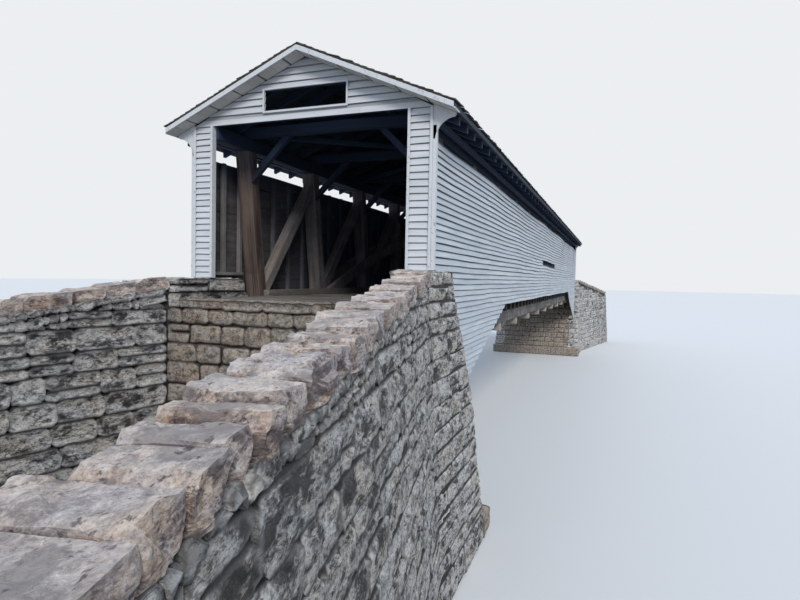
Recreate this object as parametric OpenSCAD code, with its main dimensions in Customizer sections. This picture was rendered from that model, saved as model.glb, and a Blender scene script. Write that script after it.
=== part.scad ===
// Covered timber bridge on two stone abutments, as a scale model at 1:2.
// Every length is a model length in millimetres: half of the full-size one.
// X runs across the bridge, Y along it and Z up. The origin is at midspan,
// at the foot of the masonry. The near portal is at -Y, the right side at +X.

/* [House] */
// Length of the timber house, portal to portal
house_l = 19050; // [17000:50:20000]
// Width over the side boards
house_w = 2667; // [2600:1:2800]
// Height of the deck above the foot of the masonry
deck_h = 2600; // [2400:10:2900]
// Top edge of the side boards, above the deck
wall_top = 1475; // [1420:5:1500]
// Lower edge of the side boards at midspan, below the deck
wall_drop = 120; // [80:5:150]
// Thickness of the side boards
siding_t = 24; // [16:1:30]
// Thickness of a portal wall
portal_t = 50; // [40:1:70]

/* [Portal] */
// Width of the driveway opening
opening_w = 2142; // [2000:1:2160]
// Height of the opening above the deck
opening_h = 1765; // [1720:5:1780]
// Width of the gable window
window_w = 900; // [700:10:1000]
// Sill of the gable window above the deck
window_z = 1860; // [1850:5:1900]
// Height of the gable window
window_h = 205; // [150:5:210]
// Width of a corner board and a jamb board
trim_w = 26; // [20:1:60]
// Width of a board of the window frame
frame_w = 18; // [12:1:60]
// Thickness of a trim board
trim_t = 14; // [8:1:20]

/* [Skirts and slit] */
// Length of a skirt along the bridge, from the portal
skirt_l = 3650; // [3300:10:4000]
// Depth of a skirt below the deck at its deep end
skirt_drop = 1260; // [1000:10:1270]
// Flat length at the deep end of a skirt
skirt_flat = 300; // [200:10:400]
// Length of the slit window in each side wall
slit_l = 2850; // [2000:10:3400]
// Sill of the slit window above the deck
slit_z = 570; // [500:5:620]
// Height of the slit window
slit_h = 115; // [80:5:140]

/* [Roof] */
// Rise of the roof for each unit of half width
roof_rise = 0.431; // [0.41:0.001:0.44]
// Under side of the roof boards at the ridge, above the deck
ridge_h = 2350; // [2340:5:2400]
// Thickness of boards and shingles, measured upright
roof_t = 72; // [50:1:80]
// Half width of the roof at the eaves
roof_half = 1550; // [1480:5:1600]
// Overhang of the roof past each portal
gable_out = 155; // [100:5:200]
// Depth of a rake board, measured upright
rake_h = 50; // [40:1:70]
// Depth of a rafter, measured upright
rafter_h = 85; // [82:1:100]
// Width of a rafter
rafter_w = 50; // [40:1:60]

/* [Trusses] */
// Distance from the middle of the road to the inner face of a post
post_x = 1020; // [1000:1:1030]
// Width of a post across the bridge
post_w = 180; // [160:1:190]
// Width of a post along the bridge
post_d = 150; // [120:1:170]
// Lean of a post, sideways for each unit of height
post_lean = 0.145; // [0.1:0.005:0.18]
// Distance from the portal to the foot of the end post
portal_bay = 900; // [860:5:1000]
// Length of the end panel
end_panel = 1475; // [1400:5:1600]
// Length of a post tail below the lower chord
tail_l = 110; // [60:5:140]
// Thickness of each of the two timbers of a lower chord
chord_t = 60; // [50:1:70]
// Depth of a lower chord
chord_h = 190; // [170:1:200]
// Depth of an upper chord
top_chord_h = 140; // [120:1:150]
// Width of an upper chord
top_chord_w = 140; // [120:1:160]
// Depth of a brace across its length
brace_d = 130; // [100:1:150]
// Thickness of a brace across the bridge
brace_w = 120; // [100:1:140]
// Radius of the top edge of the arches
arch_r = 19400; // [19000:50:19800]
// Crown of the arches above the deck
arch_z = 1430; // [1400:5:1450]
// Depth of an arch rib
arch_d = 160; // [140:1:180]
// Thickness of an arch rib
rib_t = 65; // [50:1:70]
// Distance from the portal to the foot of an arch, inside its seat
arch_foot = 730; // [700:5:760]

/* [Floor and bracing] */
// Depth of a floor beam
beam_h = 150; // [120:1:160]
// Width of a floor beam
beam_w = 100; // [80:1:120]
// Depth of a floor joist
joist_h = 60; // [50:1:70]
// Thickness of the deck planks
plank_t = 40; // [30:1:50]
// Width of the kerb timber along each side of the deck
kerb_w = 75; // [60:1:90]
// Height of a kerb timber above the planks
kerb_h = 70; // [50:1:90]
// Depth of a tie beam
tie_h = 105; // [90:1:110]
// Width of a tie beam
tie_w = 110; // [90:1:130]
// Reach of a knee brace, along the tie and down the post
knee_l = 500; // [400:10:520]
// Thickness of a knee brace
knee_t = 60; // [50:1:80]
// Depth of a knee brace
knee_d = 70; // [60:1:90]
// Width of an upper lateral brace
lateral_w = 60; // [50:1:80]
// Depth of an upper lateral brace
lateral_h = 50; // [40:1:60]

/* [Masonry] */
// Front face of an abutment from the portal, at deck level
face_y = 630; // [600:5:650]
// Batter of the front face for each unit of height
face_batter = 0.24; // [0.15:0.01:0.25]
// Distance of an abutment's back from the portal
back_y = 450; // [400:10:500]
// Height of the footing course
footing_h = 300; // [200:10:400]
// Reach of the footing in front of the face
footing_out = 170; // [100:10:200]
// Distance from the middle of the road to the outer face of a wing wall
wing_x = 1450; // [1440:5:1480]
// Distance from the middle of the road to the inner face of a parapet
parapet_x = 1100; // [1090:5:1110]
// Length of a wing wall from the back of the abutment
wing_l = 4800; // [4000:50:4900]
// Angle at which a wing wall opens out
wing_angle = 11.5; // [8:0.5:14]
// Thickness of a wing wall at the top
wing_t = 230; // [200:5:260]
// Batter of a wing wall's outer face for each unit of height
wing_batter = 0.066; // [0.04:0.002:0.09]
// Parapet height above the deck, right side
right_top = 305; // [280:5:310]
// Parapet height above the deck, left side
left_top = 200; // [180:5:220]
// Slope of the top of the right wing walls, drop over run
right_slope = 0.11; // [0.09:0.005:0.13]
// Slope of the top of the left wing walls, drop over run
left_slope = 0.15; // [0.13:0.005:0.16]
// Thickness of a capstone
cap_t = 110; // [90:1:130]
// Number of capstones on a wing wall
cap_n = 22; // [16:1:26]
// Joint between two capstones
cap_gap = 8; // [4:1:12]
// Overhang of a capstone past each face of its wall
cap_out = 16; // [0:1:20]

/* [Hidden] */

stone = "#8f8678";
cap_stone = "#a39a8b";
old_timber = "#5f5347";
dark_timber = "#4b4037";
white_paint = "#d9dcda";
shingle = "#4a4541";

// Clearances, seats and small offsets
seat_gap = 8;
wall_lap = 1;
floor_gap = 8;
sill_drop = 10;
pocket_y = 250;
chord_step = 10;
plate_notch = 12;
plate_h = 60;
stud_w = 50;
stud_up = 30;
joist_n = 7;
joist_w = 60;
brace_foot = 20;
brace_head = 1425;
lateral_rise = 10;
rafter_tail = 40;
rake_in = 12;
rake_drop = 19;
slit_slant = 60;
corbel_t = 20;
corbel_x = 1520;
corbel_lip = 15;
ridge_board_w = 90;
ridge_board_t = 10;

// Places that follow from the sizes above
end_y = house_l / 2;
side_x = house_w / 2;
siding_x = side_x - siding_t;
masonry_top = -plank_t - joist_h;
chord_top = masonry_top - beam_h;
chord_foot = chord_top - chord_h;
chord_mid = chord_top - chord_h / 2;
frame_x = post_x + post_w + rib_t;
body_x = post_x + post_w + seat_gap;
floor_x = post_x - rib_t - floor_gap;
top_chord_top = opening_h + chord_step;
top_chord_foot = top_chord_top - top_chord_h;
half_posts = 6;
rib_places = [post_x - rib_t, post_x + post_w];
arch_angle = asin((end_y - arch_foot) / (arch_r - arch_d / 2));
panel_l = (end_y - portal_bay - end_panel) / panels_out(half_posts - 2);
plate_top = roof_under(siding_x) - rafter_h + plate_notch;

// Panels from midspan to post i, which stands on one side of the middle panel
function panels_out(i) = i + 0.5;

// Distance of post i from midspan, on the middle of the lower chord
function post_y(i) =
    i < half_posts - 1 ? panel_l * panels_out(i) : end_y - portal_bay;

// Distance of a leaning post's middle line from midspan at height z
function post_at(i, z) = post_y(i) + post_lean * (z - chord_mid);

// Places of the beams, rafters and studs, from midspan outwards
bay_parts = 4;
porch_parts = 3;
bay_places = [for (i = [0 : half_posts - 1], j = [0 : bay_parts - 1])
    let (y0 = i == 0 ? -post_y(0) : post_y(i - 1))
    let (y = y0 + (post_y(i) - y0) * (j + 0.5) / bay_parts)
    if (y > 0) y];
porch_places = [for (j = [0 : porch_parts - 1])
    end_y - portal_bay * (j + 0.5) / porch_parts];

// Top edge of the arches at a distance y from midspan
function arch_top(y) = arch_z - arch_r + sqrt(arch_r * arch_r - y * y);
function arch_crosses(y, foot, top) =
    arch_top(y) > foot - beam_w && arch_top(y) - arch_d < top + beam_w;

// Lower edge of the side boards at a distance s from the portal
function skirt_z(s) = s >= skirt_l ? -wall_drop
    : s <= skirt_flat ? -skirt_drop
    : -skirt_drop + (skirt_drop - wall_drop) * (s - skirt_flat) / (skirt_l - skirt_flat);

// Front face of an abutment, from the portal, at height z above the deck
function face_at(z) = face_y - face_batter * z;

// Under side of the roof boards at a distance x from the ridge
function roof_under(x) = ridge_h - roof_rise * x;

module at_deck() { translate([0, 0, deck_h]) children(); }
module left_side() { mirror([1, 0, 0]) children(); }
module both_sides() { children(); left_side() children(); }
module both_halves() { children(); mirror([0, 1, 0]) children(); }
module near_end() { translate([0, -end_y, 0]) children(); }
module far_end() { mirror([0, 1, 0]) near_end() children(); }
module block(x0, x1, y0, y1, z0, z1) {
    translate([x0, y0, z0]) cube([x1 - x0, y1 - y0, z1 - z0]);
}
// A shape drawn in Y and Z, standing between two places on X
module side_slab(x0, x1) {
    translate([x0, 0, 0]) rotate([90, 0, 90]) linear_extrude(x1 - x0) children();
}
// A shape drawn in X and Z, standing between two places on Y
module cross_slab(y0, y1) {
    translate([0, y1, 0]) rotate([90, 0, 0]) linear_extrude(y1 - y0) children();
}
// A straight timber drawn in the plane, past both of its end points
module band(a, b, depth) {
    run = norm(b - a);
    translate(a) rotate(atan2(b[1] - a[1], b[0] - a[0]))
        translate([-depth, -depth / 2]) square([run + 2 * depth, depth]);
}

// Masonry, drawn for the near end with the portal's face at Y = 0

module chord_pocket() {
    block(post_x - seat_gap, body_x + seat_gap, pocket_y, face_at(-deck_h),
        chord_foot, chord_top + seat_gap);
}
// Seats in the stone for the feet of the arch ribs, square to the arch
module arch_seats() {
    translate([0, end_y, arch_z - arch_r]) rotate([arch_angle, 0, 0])
        for (x = rib_places)
            block(x - seat_gap, x + rib_t + seat_gap, 0, 3 * arch_d,
                arch_r - arch_d - seat_gap, arch_r + seat_gap);
}
// The footing course, carried into the abutment by the length inside
module footing_outline(inside) {
    out_y = face_at(-deck_h) + footing_out;
    polygon([[face_at(-deck_h) - inside, -deck_h], [out_y, -deck_h],
        [out_y, footing_h - deck_h],
        [face_at(footing_h - deck_h) - inside, footing_h - deck_h]]);
}
module abutment() {
    foot_x = wing_x + wing_batter * deck_h;
    face_foot = face_at(-deck_h);
    color(stone) at_deck() {
        difference() {
            side_slab(-body_x, body_x) polygon([
                [-back_y, -deck_h], [face_foot, -deck_h],
                [face_at(masonry_top), masonry_top], [-back_y, masonry_top]]);
            both_sides() {
                chord_pocket();
                arch_seats();
            }
        }
        block(-parapet_x, parapet_x, -back_y, 0, masonry_top, -sill_drop);
        side_slab(-foot_x, foot_x) footing_outline(0);
        side_slab(-body_x, body_x) footing_outline(footing_out);
    }
}

// The block beside the portal, which carries one of its piers
module parapet(top) {
    intersection() {
        cross_slab(-back_y, face_at(-deck_h)) polygon([
            [body_x, -deck_h], [wing_x + wing_batter * deck_h, -deck_h],
            [wing_x, top], [parapet_x, top], [parapet_x, masonry_top],
            [body_x, masonry_top]]);
        side_slab(0, 2 * wing_x) polygon([
            [-back_y, -deck_h], [face_at(-deck_h), -deck_h],
            [face_at(top), top], [-back_y, top]]);
    }
}
module along_wing() {
    translate([wing_x, -back_y, 0]) rotate(wing_angle) children();
}
// What lies past the back of the abutment
module past_the_back(reach = 0) {
    block(0, 3 * wing_x, -back_y - 2 * wing_l, -back_y + reach, -2 * deck_h, 2 * deck_h);
}
module sloping_wall(top, slope) {
    intersection() {
        along_wing() cross_slab(-wing_l, wing_t) polygon([
            [-wing_t, -deck_h], [wing_batter * deck_h, -deck_h],
            [0, top], [-wing_t, top]]);
        along_wing() side_slab(-wing_x, wing_x) polygon([
            [-wing_l, -deck_h], [wing_t, -deck_h],
            [wing_t, top - cap_t + slope * wing_t],
            [-wing_l, top - cap_t - slope * wing_l]]);
        past_the_back(wall_lap);
    }
}
module wing_wall(top, slope) {
    color(stone) at_deck() {
        difference() {
            parapet(top);
            arch_seats();
        }
        sloping_wall(top, slope);
    }
}
// At the far end the side boards run on over the masonry
module boarded_wing_wall(top, slope) {
    difference() {
        wing_wall(top, slope);
        at_deck() block(siding_x - seat_gap, 2 * wing_x, 0, 2 * end_y,
            -skirt_drop - seat_gap, 2 * deck_h);
    }
}
module capstones(top, slope) {
    stone_l = wing_l / cap_n;
    color(cap_stone) at_deck() intersection() {
        along_wing() for (i = [0 : cap_n - 1]) {
            y1 = i == 0 ? wing_t : -i * stone_l;
            y0 = -(i + 1) * stone_l + cap_gap;
            side_slab(-wing_t - cap_out, cap_out) polygon([
                [y0, top - cap_t + slope * y0], [y1, top - cap_t + slope * y1],
                [y1, top + slope * y1], [y0, top + slope * y0]]);
        }
        past_the_back();
    }
}

// Trusses, drawn for the right side

module lower_chord() {
    color(old_timber) at_deck() for (x = [post_x, post_x + post_w - chord_t])
        block(x, x + chord_t, pocket_y - end_y, end_y - pocket_y,
            chord_foot, chord_top);
}
module upper_chord() {
    x = post_x + (post_w - top_chord_w) / 2;
    color(old_timber) at_deck() block(x, x + top_chord_w,
        portal_t - end_y, end_y - portal_t, top_chord_foot, top_chord_top);
}
module post_outline(i) {
    z0 = chord_foot - tail_l;
    polygon([for (p = [[-1, z0], [1, z0], [1, top_chord_foot], [-1, top_chord_foot]])
        [post_at(i, p[1]) + p[0] * post_d / 2, p[1]]]);
}
// Each post is let in between the two timbers of the lower chord
module posts() {
    color(old_timber) difference() {
        at_deck() both_halves() for (i = [0 : half_posts - 1])
            side_slab(post_x, post_x + post_w) post_outline(i);
        lower_chord();
    }
}
// The space between post i and the one before it, above the floor beams
module panel_outline(i) {
    inner = [for (z = [masonry_top, top_chord_foot])
        i == 0 ? [-post_at(0, z) + post_d / 2, z] : [post_at(i - 1, z) + post_d / 2, z]];
    outer = [for (z = [masonry_top, top_chord_foot]) [post_at(i, z) - post_d / 2, z]];
    polygon([inner[0], outer[0], outer[1], inner[1]]);
}
module brace_outline(i) {
    foot = [post_at(i, brace_foot) - post_d / 2, brace_foot];
    head = [post_at(i - 1, brace_head) + post_d / 2, brace_head];
    intersection() {
        panel_outline(i);
        band(foot, head, brace_d);
    }
}
// The middle panel has a pair of crossed braces
module crossed_outline() {
    foot = post_at(0, brace_foot) - post_d / 2;
    head = post_at(0, brace_head) - post_d / 2;
    intersection() {
        panel_outline(0);
        for (s = [-1, 1])
            band([s * foot, brace_foot], [-s * head, brace_head], brace_d);
    }
}
module braces() {
    x = post_x + (post_w - brace_w) / 2;
    color(old_timber) at_deck() {
        both_halves() for (i = [1 : half_posts - 1])
            side_slab(x, x + brace_w) brace_outline(i);
        side_slab(x, x + brace_w) crossed_outline();
    }
}
// Half of one rib, from its crown to its foot
module half_rib(x) {
    translate([x + rib_t, 0, arch_z - arch_r]) rotate([0, -90, 0])
        rotate_extrude(angle = arch_angle, $fn = 720)
            translate([arch_r - arch_d, 0]) square([arch_d, rib_t]);
}
// One rib on each face of the posts
module arch() {
    color(old_timber) at_deck() both_halves() for (x = rib_places) half_rib(x);
}

// Floor

module floor_beams() {
    color(dark_timber) at_deck() both_halves() for (y = bay_places)
        if (!arch_crosses(y, chord_top, masonry_top))
            block(-frame_x, frame_x, y - beam_w / 2, y + beam_w / 2,
                chord_top, masonry_top);
}
module floor_joists() {
    color(dark_timber) at_deck() for (i = [0 : joist_n - 1]) {
        x = (floor_x - joist_w / 2) * (2 * i / (joist_n - 1) - 1);
        block(x - joist_w / 2, x + joist_w / 2, -end_y, end_y, masonry_top, -plank_t);
    }
}
// Planks across the road, with a kerb timber along each side past the parapets
module deck_planks() {
    kerb_end = end_y - portal_bay + post_d;
    color(old_timber) at_deck() {
        block(-floor_x, floor_x, -end_y, end_y, -plank_t, 0);
        both_sides() block(floor_x - kerb_w, floor_x, -kerb_end, kerb_end, -plank_t, kerb_h);
    }
}

// Upper bracing

module tie_beams() {
    w = post_x + (post_w + top_chord_w) / 2;
    corner = (ridge_h - top_chord_top - tie_h) / roof_rise;
    color(dark_timber) at_deck() both_halves() for (i = [0 : half_posts - 1]) {
        y = post_at(i, top_chord_top);
        cross_slab(y - tie_w / 2, y + tie_w / 2) polygon([
            [-w, top_chord_top], [w, top_chord_top], [w, roof_under(w)],
            [corner, top_chord_top + tie_h], [-corner, top_chord_top + tie_h],
            [-w, roof_under(w)]]);
    }
}
module knee_braces() {
    foot = top_chord_top - knee_l;
    rise = knee_d / cos(45);
    color(dark_timber) difference() {
        at_deck() both_halves() both_sides() for (i = [0 : half_posts - 1]) {
            y = post_at(i, top_chord_top - knee_l / 2);
            cross_slab(y - knee_t / 2, y + knee_t / 2) polygon([
                [post_x, foot], [post_x, foot + rise],
                [post_x - knee_l + rise, top_chord_top],
                [post_x - knee_l, top_chord_top]]);
        }
        both_sides() arch();
    }
}
// One diagonal from tie beam to tie beam in each panel, turned about by turns
module lateral_outline(y0, y1, turn) {
    x = post_x - lateral_w;
    intersection() {
        translate([-x - lateral_w, y0]) square([2 * (x + lateral_w), y1 - y0]);
        band([-turn * x, y0], [turn * x, y1], lateral_w);
    }
}
module upper_lateral_braces() {
    tie_y = [for (i = [0 : half_posts - 1]) post_at(i, top_chord_top)];
    z = top_chord_top + lateral_rise;
    color(dark_timber) at_deck() translate([0, 0, z]) linear_extrude(lateral_h) {
        lateral_outline(-tie_y[0] + tie_w / 2, tie_y[0] - tie_w / 2, 1);
        both_halves() for (i = [1 : half_posts - 1])
            lateral_outline(tie_y[i - 1] + tie_w / 2, tie_y[i] - tie_w / 2,
                i % 2 == 0 ? 1 : -1);
    }
}
// Rafters of the right slope, notched over the upper chord and the wall plate
module rafters() {
    e = roof_half - rafter_tail;
    color(dark_timber) difference() {
        at_deck() both_halves() for (y = concat(bay_places, porch_places))
            cross_slab(y - rafter_w / 2, y + rafter_w / 2) polygon([
                [0, roof_under(0)], [e, roof_under(e)], [e, roof_under(e) - rafter_h],
                [0, roof_under(0) - rafter_h]]);
        upper_chord();
        at_deck() wall_plate();
    }
}

// Side walls, drawn for the right side

module wall_plate() {
    block(frame_x, siding_x, portal_t - end_y, end_y - portal_t,
        plate_top - plate_h, plate_top);
}
// A sill lies on each parapet, from the portal wall to the face of the stone
module porch_sills(top) {
    both_halves() block(frame_x, siding_x, end_y - face_at(top), end_y - portal_t,
        top, top + plate_h);
}
module wall_plates() {
    color(dark_timber) at_deck() {
        both_sides() wall_plate();
        porch_sills(right_top);
        left_side() porch_sills(left_top);
    }
}
module studs(top) {
    color(dark_timber) at_deck() both_halves() for (y = concat(bay_places, porch_places)) {
        s = end_y - y;
        foot = s < face_y + stud_w ? top + plate_h
            : max(skirt_z(s - stud_w) + stud_up, (face_y - s + stud_w) / face_batter);
        block(frame_x, siding_x, y - stud_w / 2, y + stud_w / 2,
            foot, plate_top - plate_h);
    }
}
module skirt_outline() {
    half = [[0, -wall_drop], [end_y - skirt_l, -wall_drop],
        [end_y - skirt_flat, -skirt_drop], [end_y, -skirt_drop], [end_y, wall_top]];
    mirrored = [for (i = [len(half) - 1 : -1 : 1]) [-half[i][0], half[i][1]]];
    polygon(concat(half, mirrored));
}
module slit_outline() {
    polygon([[-slit_l / 2, slit_z + slit_h], [slit_l / 2 - slit_slant, slit_z + slit_h],
        [slit_l / 2, slit_z], [-slit_l / 2 + slit_slant, slit_z]]);
}
// The boards stop clear of the parapet block at the near portal
module near_stone_outline(top) {
    translate([-end_y, 0]) polygon([for (p = [[0, 0], [1, 0], [1, 1], [0, 1]])
        let (z = p[1] == 0 ? -deck_h : top)
        [p[0] == 0 ? -seat_gap : face_at(z) + seat_gap, z]]);
}
module siding(top) {
    color(white_paint) at_deck() side_slab(siding_x, side_x) difference() {
        skirt_outline();
        slit_outline();
        near_stone_outline(top);
    }
}

// Portals, drawn for the near end with the face at Y = 0

module pier(top) {
    color(white_paint) at_deck()
        block(opening_w / 2, siding_x, 0, portal_t, top, opening_h);
}
module gable() {
    color(white_paint) at_deck() cross_slab(0, portal_t) difference() {
        polygon([[-siding_x, opening_h], [siding_x, opening_h],
            [siding_x, roof_under(siding_x)], [0, ridge_h],
            [-siding_x, roof_under(siding_x)]]);
        translate([-window_w / 2, window_z]) square([window_w, window_h]);
    }
}
module trim_board(x, z0, z1) {
    block(x, x + trim_w, -trim_t, 0, z0, z1);
}
module window_frame() {
    cross_slab(-trim_t, 0) translate([-window_w / 2, window_z]) difference() {
        translate([-frame_w, -frame_w])
            square([window_w + 2 * frame_w, window_h + 2 * frame_w]);
        square([window_w, window_h]);
    }
}
module portal_trim() {
    color(white_paint) at_deck() {
        window_frame();
        both_sides() eave_corbel();
        trim_board(opening_w / 2, right_top, opening_h);
        trim_board(siding_x - trim_w, right_top, opening_h);
        left_side() {
            trim_board(opening_w / 2, left_top, opening_h);
            trim_board(siding_x - trim_w, left_top, opening_h);
        }
    }
}
module rake_boards() {
    e = roof_half - rake_in;
    z = roof_t - rake_drop;
    color(white_paint) at_deck() both_halves()
        cross_slab(end_y + gable_out, end_y + gable_out + trim_t) polygon([
            [0, ridge_h + z], [e, roof_under(e) + z], [e, roof_under(e) + z - rake_h],
            [0, ridge_h + z - rake_h], [-e, roof_under(e) + z - rake_h],
            [-e, roof_under(e) + z]]);
}
// A curved board that closes the eave beside the portal
module eave_corbel() {
    difference() {
        cross_slab(0, corbel_t) polygon([[siding_x, wall_top], [side_x, wall_top],
            [corbel_x, roof_under(corbel_x) - corbel_lip],
            [corbel_x, roof_under(corbel_x)], [siding_x, roof_under(siding_x)]]);
        translate([corbel_x, 0, wall_top]) rotate([90, 0, 0])
            cylinder(r = corbel_x - side_x, h = 4 * corbel_t, center = true, $fn = 96);
    }
}

// Roof

module roof_slope() {
    color(shingle) at_deck() cross_slab(-end_y - gable_out, end_y + gable_out) polygon([
        [0, ridge_h], [roof_half, roof_under(roof_half)],
        [roof_half, roof_under(roof_half) + roof_t], [0, ridge_h + roof_t]]);
}
module ridge_boards() {
    z = ridge_h + roof_t;
    drop = roof_rise * ridge_board_w;
    color(shingle) at_deck() cross_slab(-end_y - gable_out, end_y + gable_out) polygon([
        [0, z], [ridge_board_w, z - drop], [ridge_board_w, z - drop + ridge_board_t],
        [0, z + ridge_board_t], [-ridge_board_w, z - drop + ridge_board_t],
        [-ridge_board_w, z - drop]]);
}

near_end() abutment();  // near_abutment
far_end() abutment();  // far_abutment
near_end() left_side() wing_wall(left_top, left_slope);  // near_left_wing_wall
near_end() wing_wall(right_top, right_slope);  // near_right_wing_wall
far_end() left_side() boarded_wing_wall(left_top, left_slope);  // far_left_wing_wall
far_end() boarded_wing_wall(right_top, right_slope);  // far_right_wing_wall
near_end() left_side() capstones(left_top, left_slope);  // near_left_capstones
near_end() capstones(right_top, right_slope);  // near_right_capstones
far_end() left_side() capstones(left_top, left_slope);  // far_left_capstones
far_end() capstones(right_top, right_slope);  // far_right_capstones
left_side() lower_chord();  // left_lower_chord
lower_chord();  // right_lower_chord
left_side() upper_chord();  // left_upper_chord
upper_chord();  // right_upper_chord
left_side() posts();  // left_posts
posts();  // right_posts
left_side() braces();  // left_braces
braces();  // right_braces
left_side() arch();  // left_arch
arch();  // right_arch
floor_beams();
floor_joists();
deck_planks();
tie_beams();
knee_braces();
upper_lateral_braces();
left_side() rafters();  // left_rafters
rafters();  // right_rafters
wall_plates();
left_side() studs(left_top);  // left_studs
studs(right_top);  // right_studs
left_side() siding(left_top);  // left_siding
siding(right_top);  // right_siding
near_end() left_side() pier(left_top);  // near_left_pier
near_end() pier(right_top);  // near_right_pier
near_end() gable();  // near_gable
far_end() left_side() pier(left_top);  // far_left_pier
far_end() pier(right_top);  // far_right_pier
far_end() gable();  // far_gable
near_end() portal_trim();  // near_portal_trim
far_end() portal_trim();  // far_portal_trim
rake_boards();
left_side() roof_slope();  // left_roof
roof_slope();  // right_roof
ridge_boards();
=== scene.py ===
# %% [markdown]
# # A covered timber bridge at half size
# The solids of the bridge come in as a fixed frame. This notebook dresses them:
# every board, shingle and stone is laid one by one, and every surface gets a
# finish of its own. A solid is never moved. Where it needs more detail, a new
# piece is made in its place and the solid is hidden.

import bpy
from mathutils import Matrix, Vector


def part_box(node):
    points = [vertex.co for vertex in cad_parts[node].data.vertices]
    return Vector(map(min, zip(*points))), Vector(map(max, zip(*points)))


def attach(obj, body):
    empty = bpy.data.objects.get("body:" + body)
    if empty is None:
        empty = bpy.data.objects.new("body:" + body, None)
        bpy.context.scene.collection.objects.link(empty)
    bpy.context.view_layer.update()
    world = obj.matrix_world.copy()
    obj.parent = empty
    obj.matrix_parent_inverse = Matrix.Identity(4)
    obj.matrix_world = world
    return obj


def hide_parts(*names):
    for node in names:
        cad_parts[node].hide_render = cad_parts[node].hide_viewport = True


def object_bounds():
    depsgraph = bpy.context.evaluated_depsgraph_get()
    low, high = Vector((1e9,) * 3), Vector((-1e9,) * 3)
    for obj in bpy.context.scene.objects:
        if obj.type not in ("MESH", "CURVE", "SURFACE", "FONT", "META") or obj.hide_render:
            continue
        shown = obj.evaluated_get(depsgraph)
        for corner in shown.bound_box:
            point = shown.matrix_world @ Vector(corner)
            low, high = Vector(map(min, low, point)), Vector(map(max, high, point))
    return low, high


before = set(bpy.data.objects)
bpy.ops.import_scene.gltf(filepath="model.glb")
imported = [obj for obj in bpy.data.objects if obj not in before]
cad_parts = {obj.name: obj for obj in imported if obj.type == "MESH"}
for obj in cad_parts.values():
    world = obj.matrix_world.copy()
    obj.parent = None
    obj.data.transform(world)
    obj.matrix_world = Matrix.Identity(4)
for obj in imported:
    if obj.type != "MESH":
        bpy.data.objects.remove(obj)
cad_low, cad_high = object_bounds()
print("solids:", len(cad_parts), "box", cad_low[:], cad_high[:])

# %% Other imports
import random
from collections import namedtuple
from math import ceil, cos, exp, radians, sin

import bmesh
import bpy
from mathutils import Matrix, Vector, noise

# Without a seed of its own, noise_vector shifts its noise by the time of day, and
# no two runs would give the same stones.
NOISE_SEED = 3
noise.seed_set(NOISE_SEED)

# %% [markdown]
# ## Places that everything else is measured from
# The deck's top is the level that a traveller walks on, and each portal's face
# is the outer side of its gable. Both are read from the frame, so the dressing
# follows the solids when they change. A side is 1 or -1, and so is an end, and
# one function then makes the pieces of both.

# %% Levels and faces
PLANK_T = 0.040
DECK_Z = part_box("floor_joists")[1].z + PLANK_T
END_Y = -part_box("near_gable")[0].y
SIDE_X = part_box("right_siding")[1].x
SIDING_T = SIDE_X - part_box("right_siding")[0].x
PORTAL_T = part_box("near_gable")[1].y + END_Y
SIDES, ENDS = {1: "right", -1: "left"}, {-1: "near", 1: "far"}
print("deck", round(DECK_Z, 3), "portal", round(END_Y, 3), "side", round(SIDE_X, 3))

# %% [markdown]
# ## Camera
# The camera stands where the photograph was taken: beside the end of the right
# wing wall, a little above the deck. Its turn was solved from the corners of
# the portal, so it is written as three angles and not as a look-at point.

# %% Camera at the photograph's place
CAMERA_PLACE = Vector((2.870, -14.419, 2.835))
YAW, PITCH, ROLL = 0.3602, -0.0383, 0.0195
LENS_MM = 25.74


def show(thing):
    bpy.context.scene.collection.objects.link(thing)
    return thing


forward = Vector((-sin(YAW) * cos(PITCH), cos(YAW) * cos(PITCH), sin(PITCH)))
level = Vector((cos(YAW), sin(YAW), 0.0))
right = level * cos(ROLL) + level.cross(forward) * sin(ROLL)
turn = Matrix((right, right.cross(forward), -forward)).transposed()

camera = show(bpy.data.objects.new("camera", bpy.data.cameras.new("camera")))
camera.data.lens = LENS_MM
camera.data.sensor_width = 36.0
camera.data.clip_start, camera.data.clip_end = 0.05, 400.0
camera.matrix_world = Matrix.Translation(CAMERA_PLACE) @ turn.to_4x4()
bpy.context.scene.camera = camera
bpy.context.scene.view_settings.view_transform = "Standard"
print("camera at", CAMERA_PLACE[:])

# %% [markdown]
# ## Small helpers for node trees
# A material is a tree of nodes. A small class holds the tree that is being built,
# called t below, and has a method for each node that the finishes use again and
# again. An input is a plain value or the output of another node.

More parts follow.
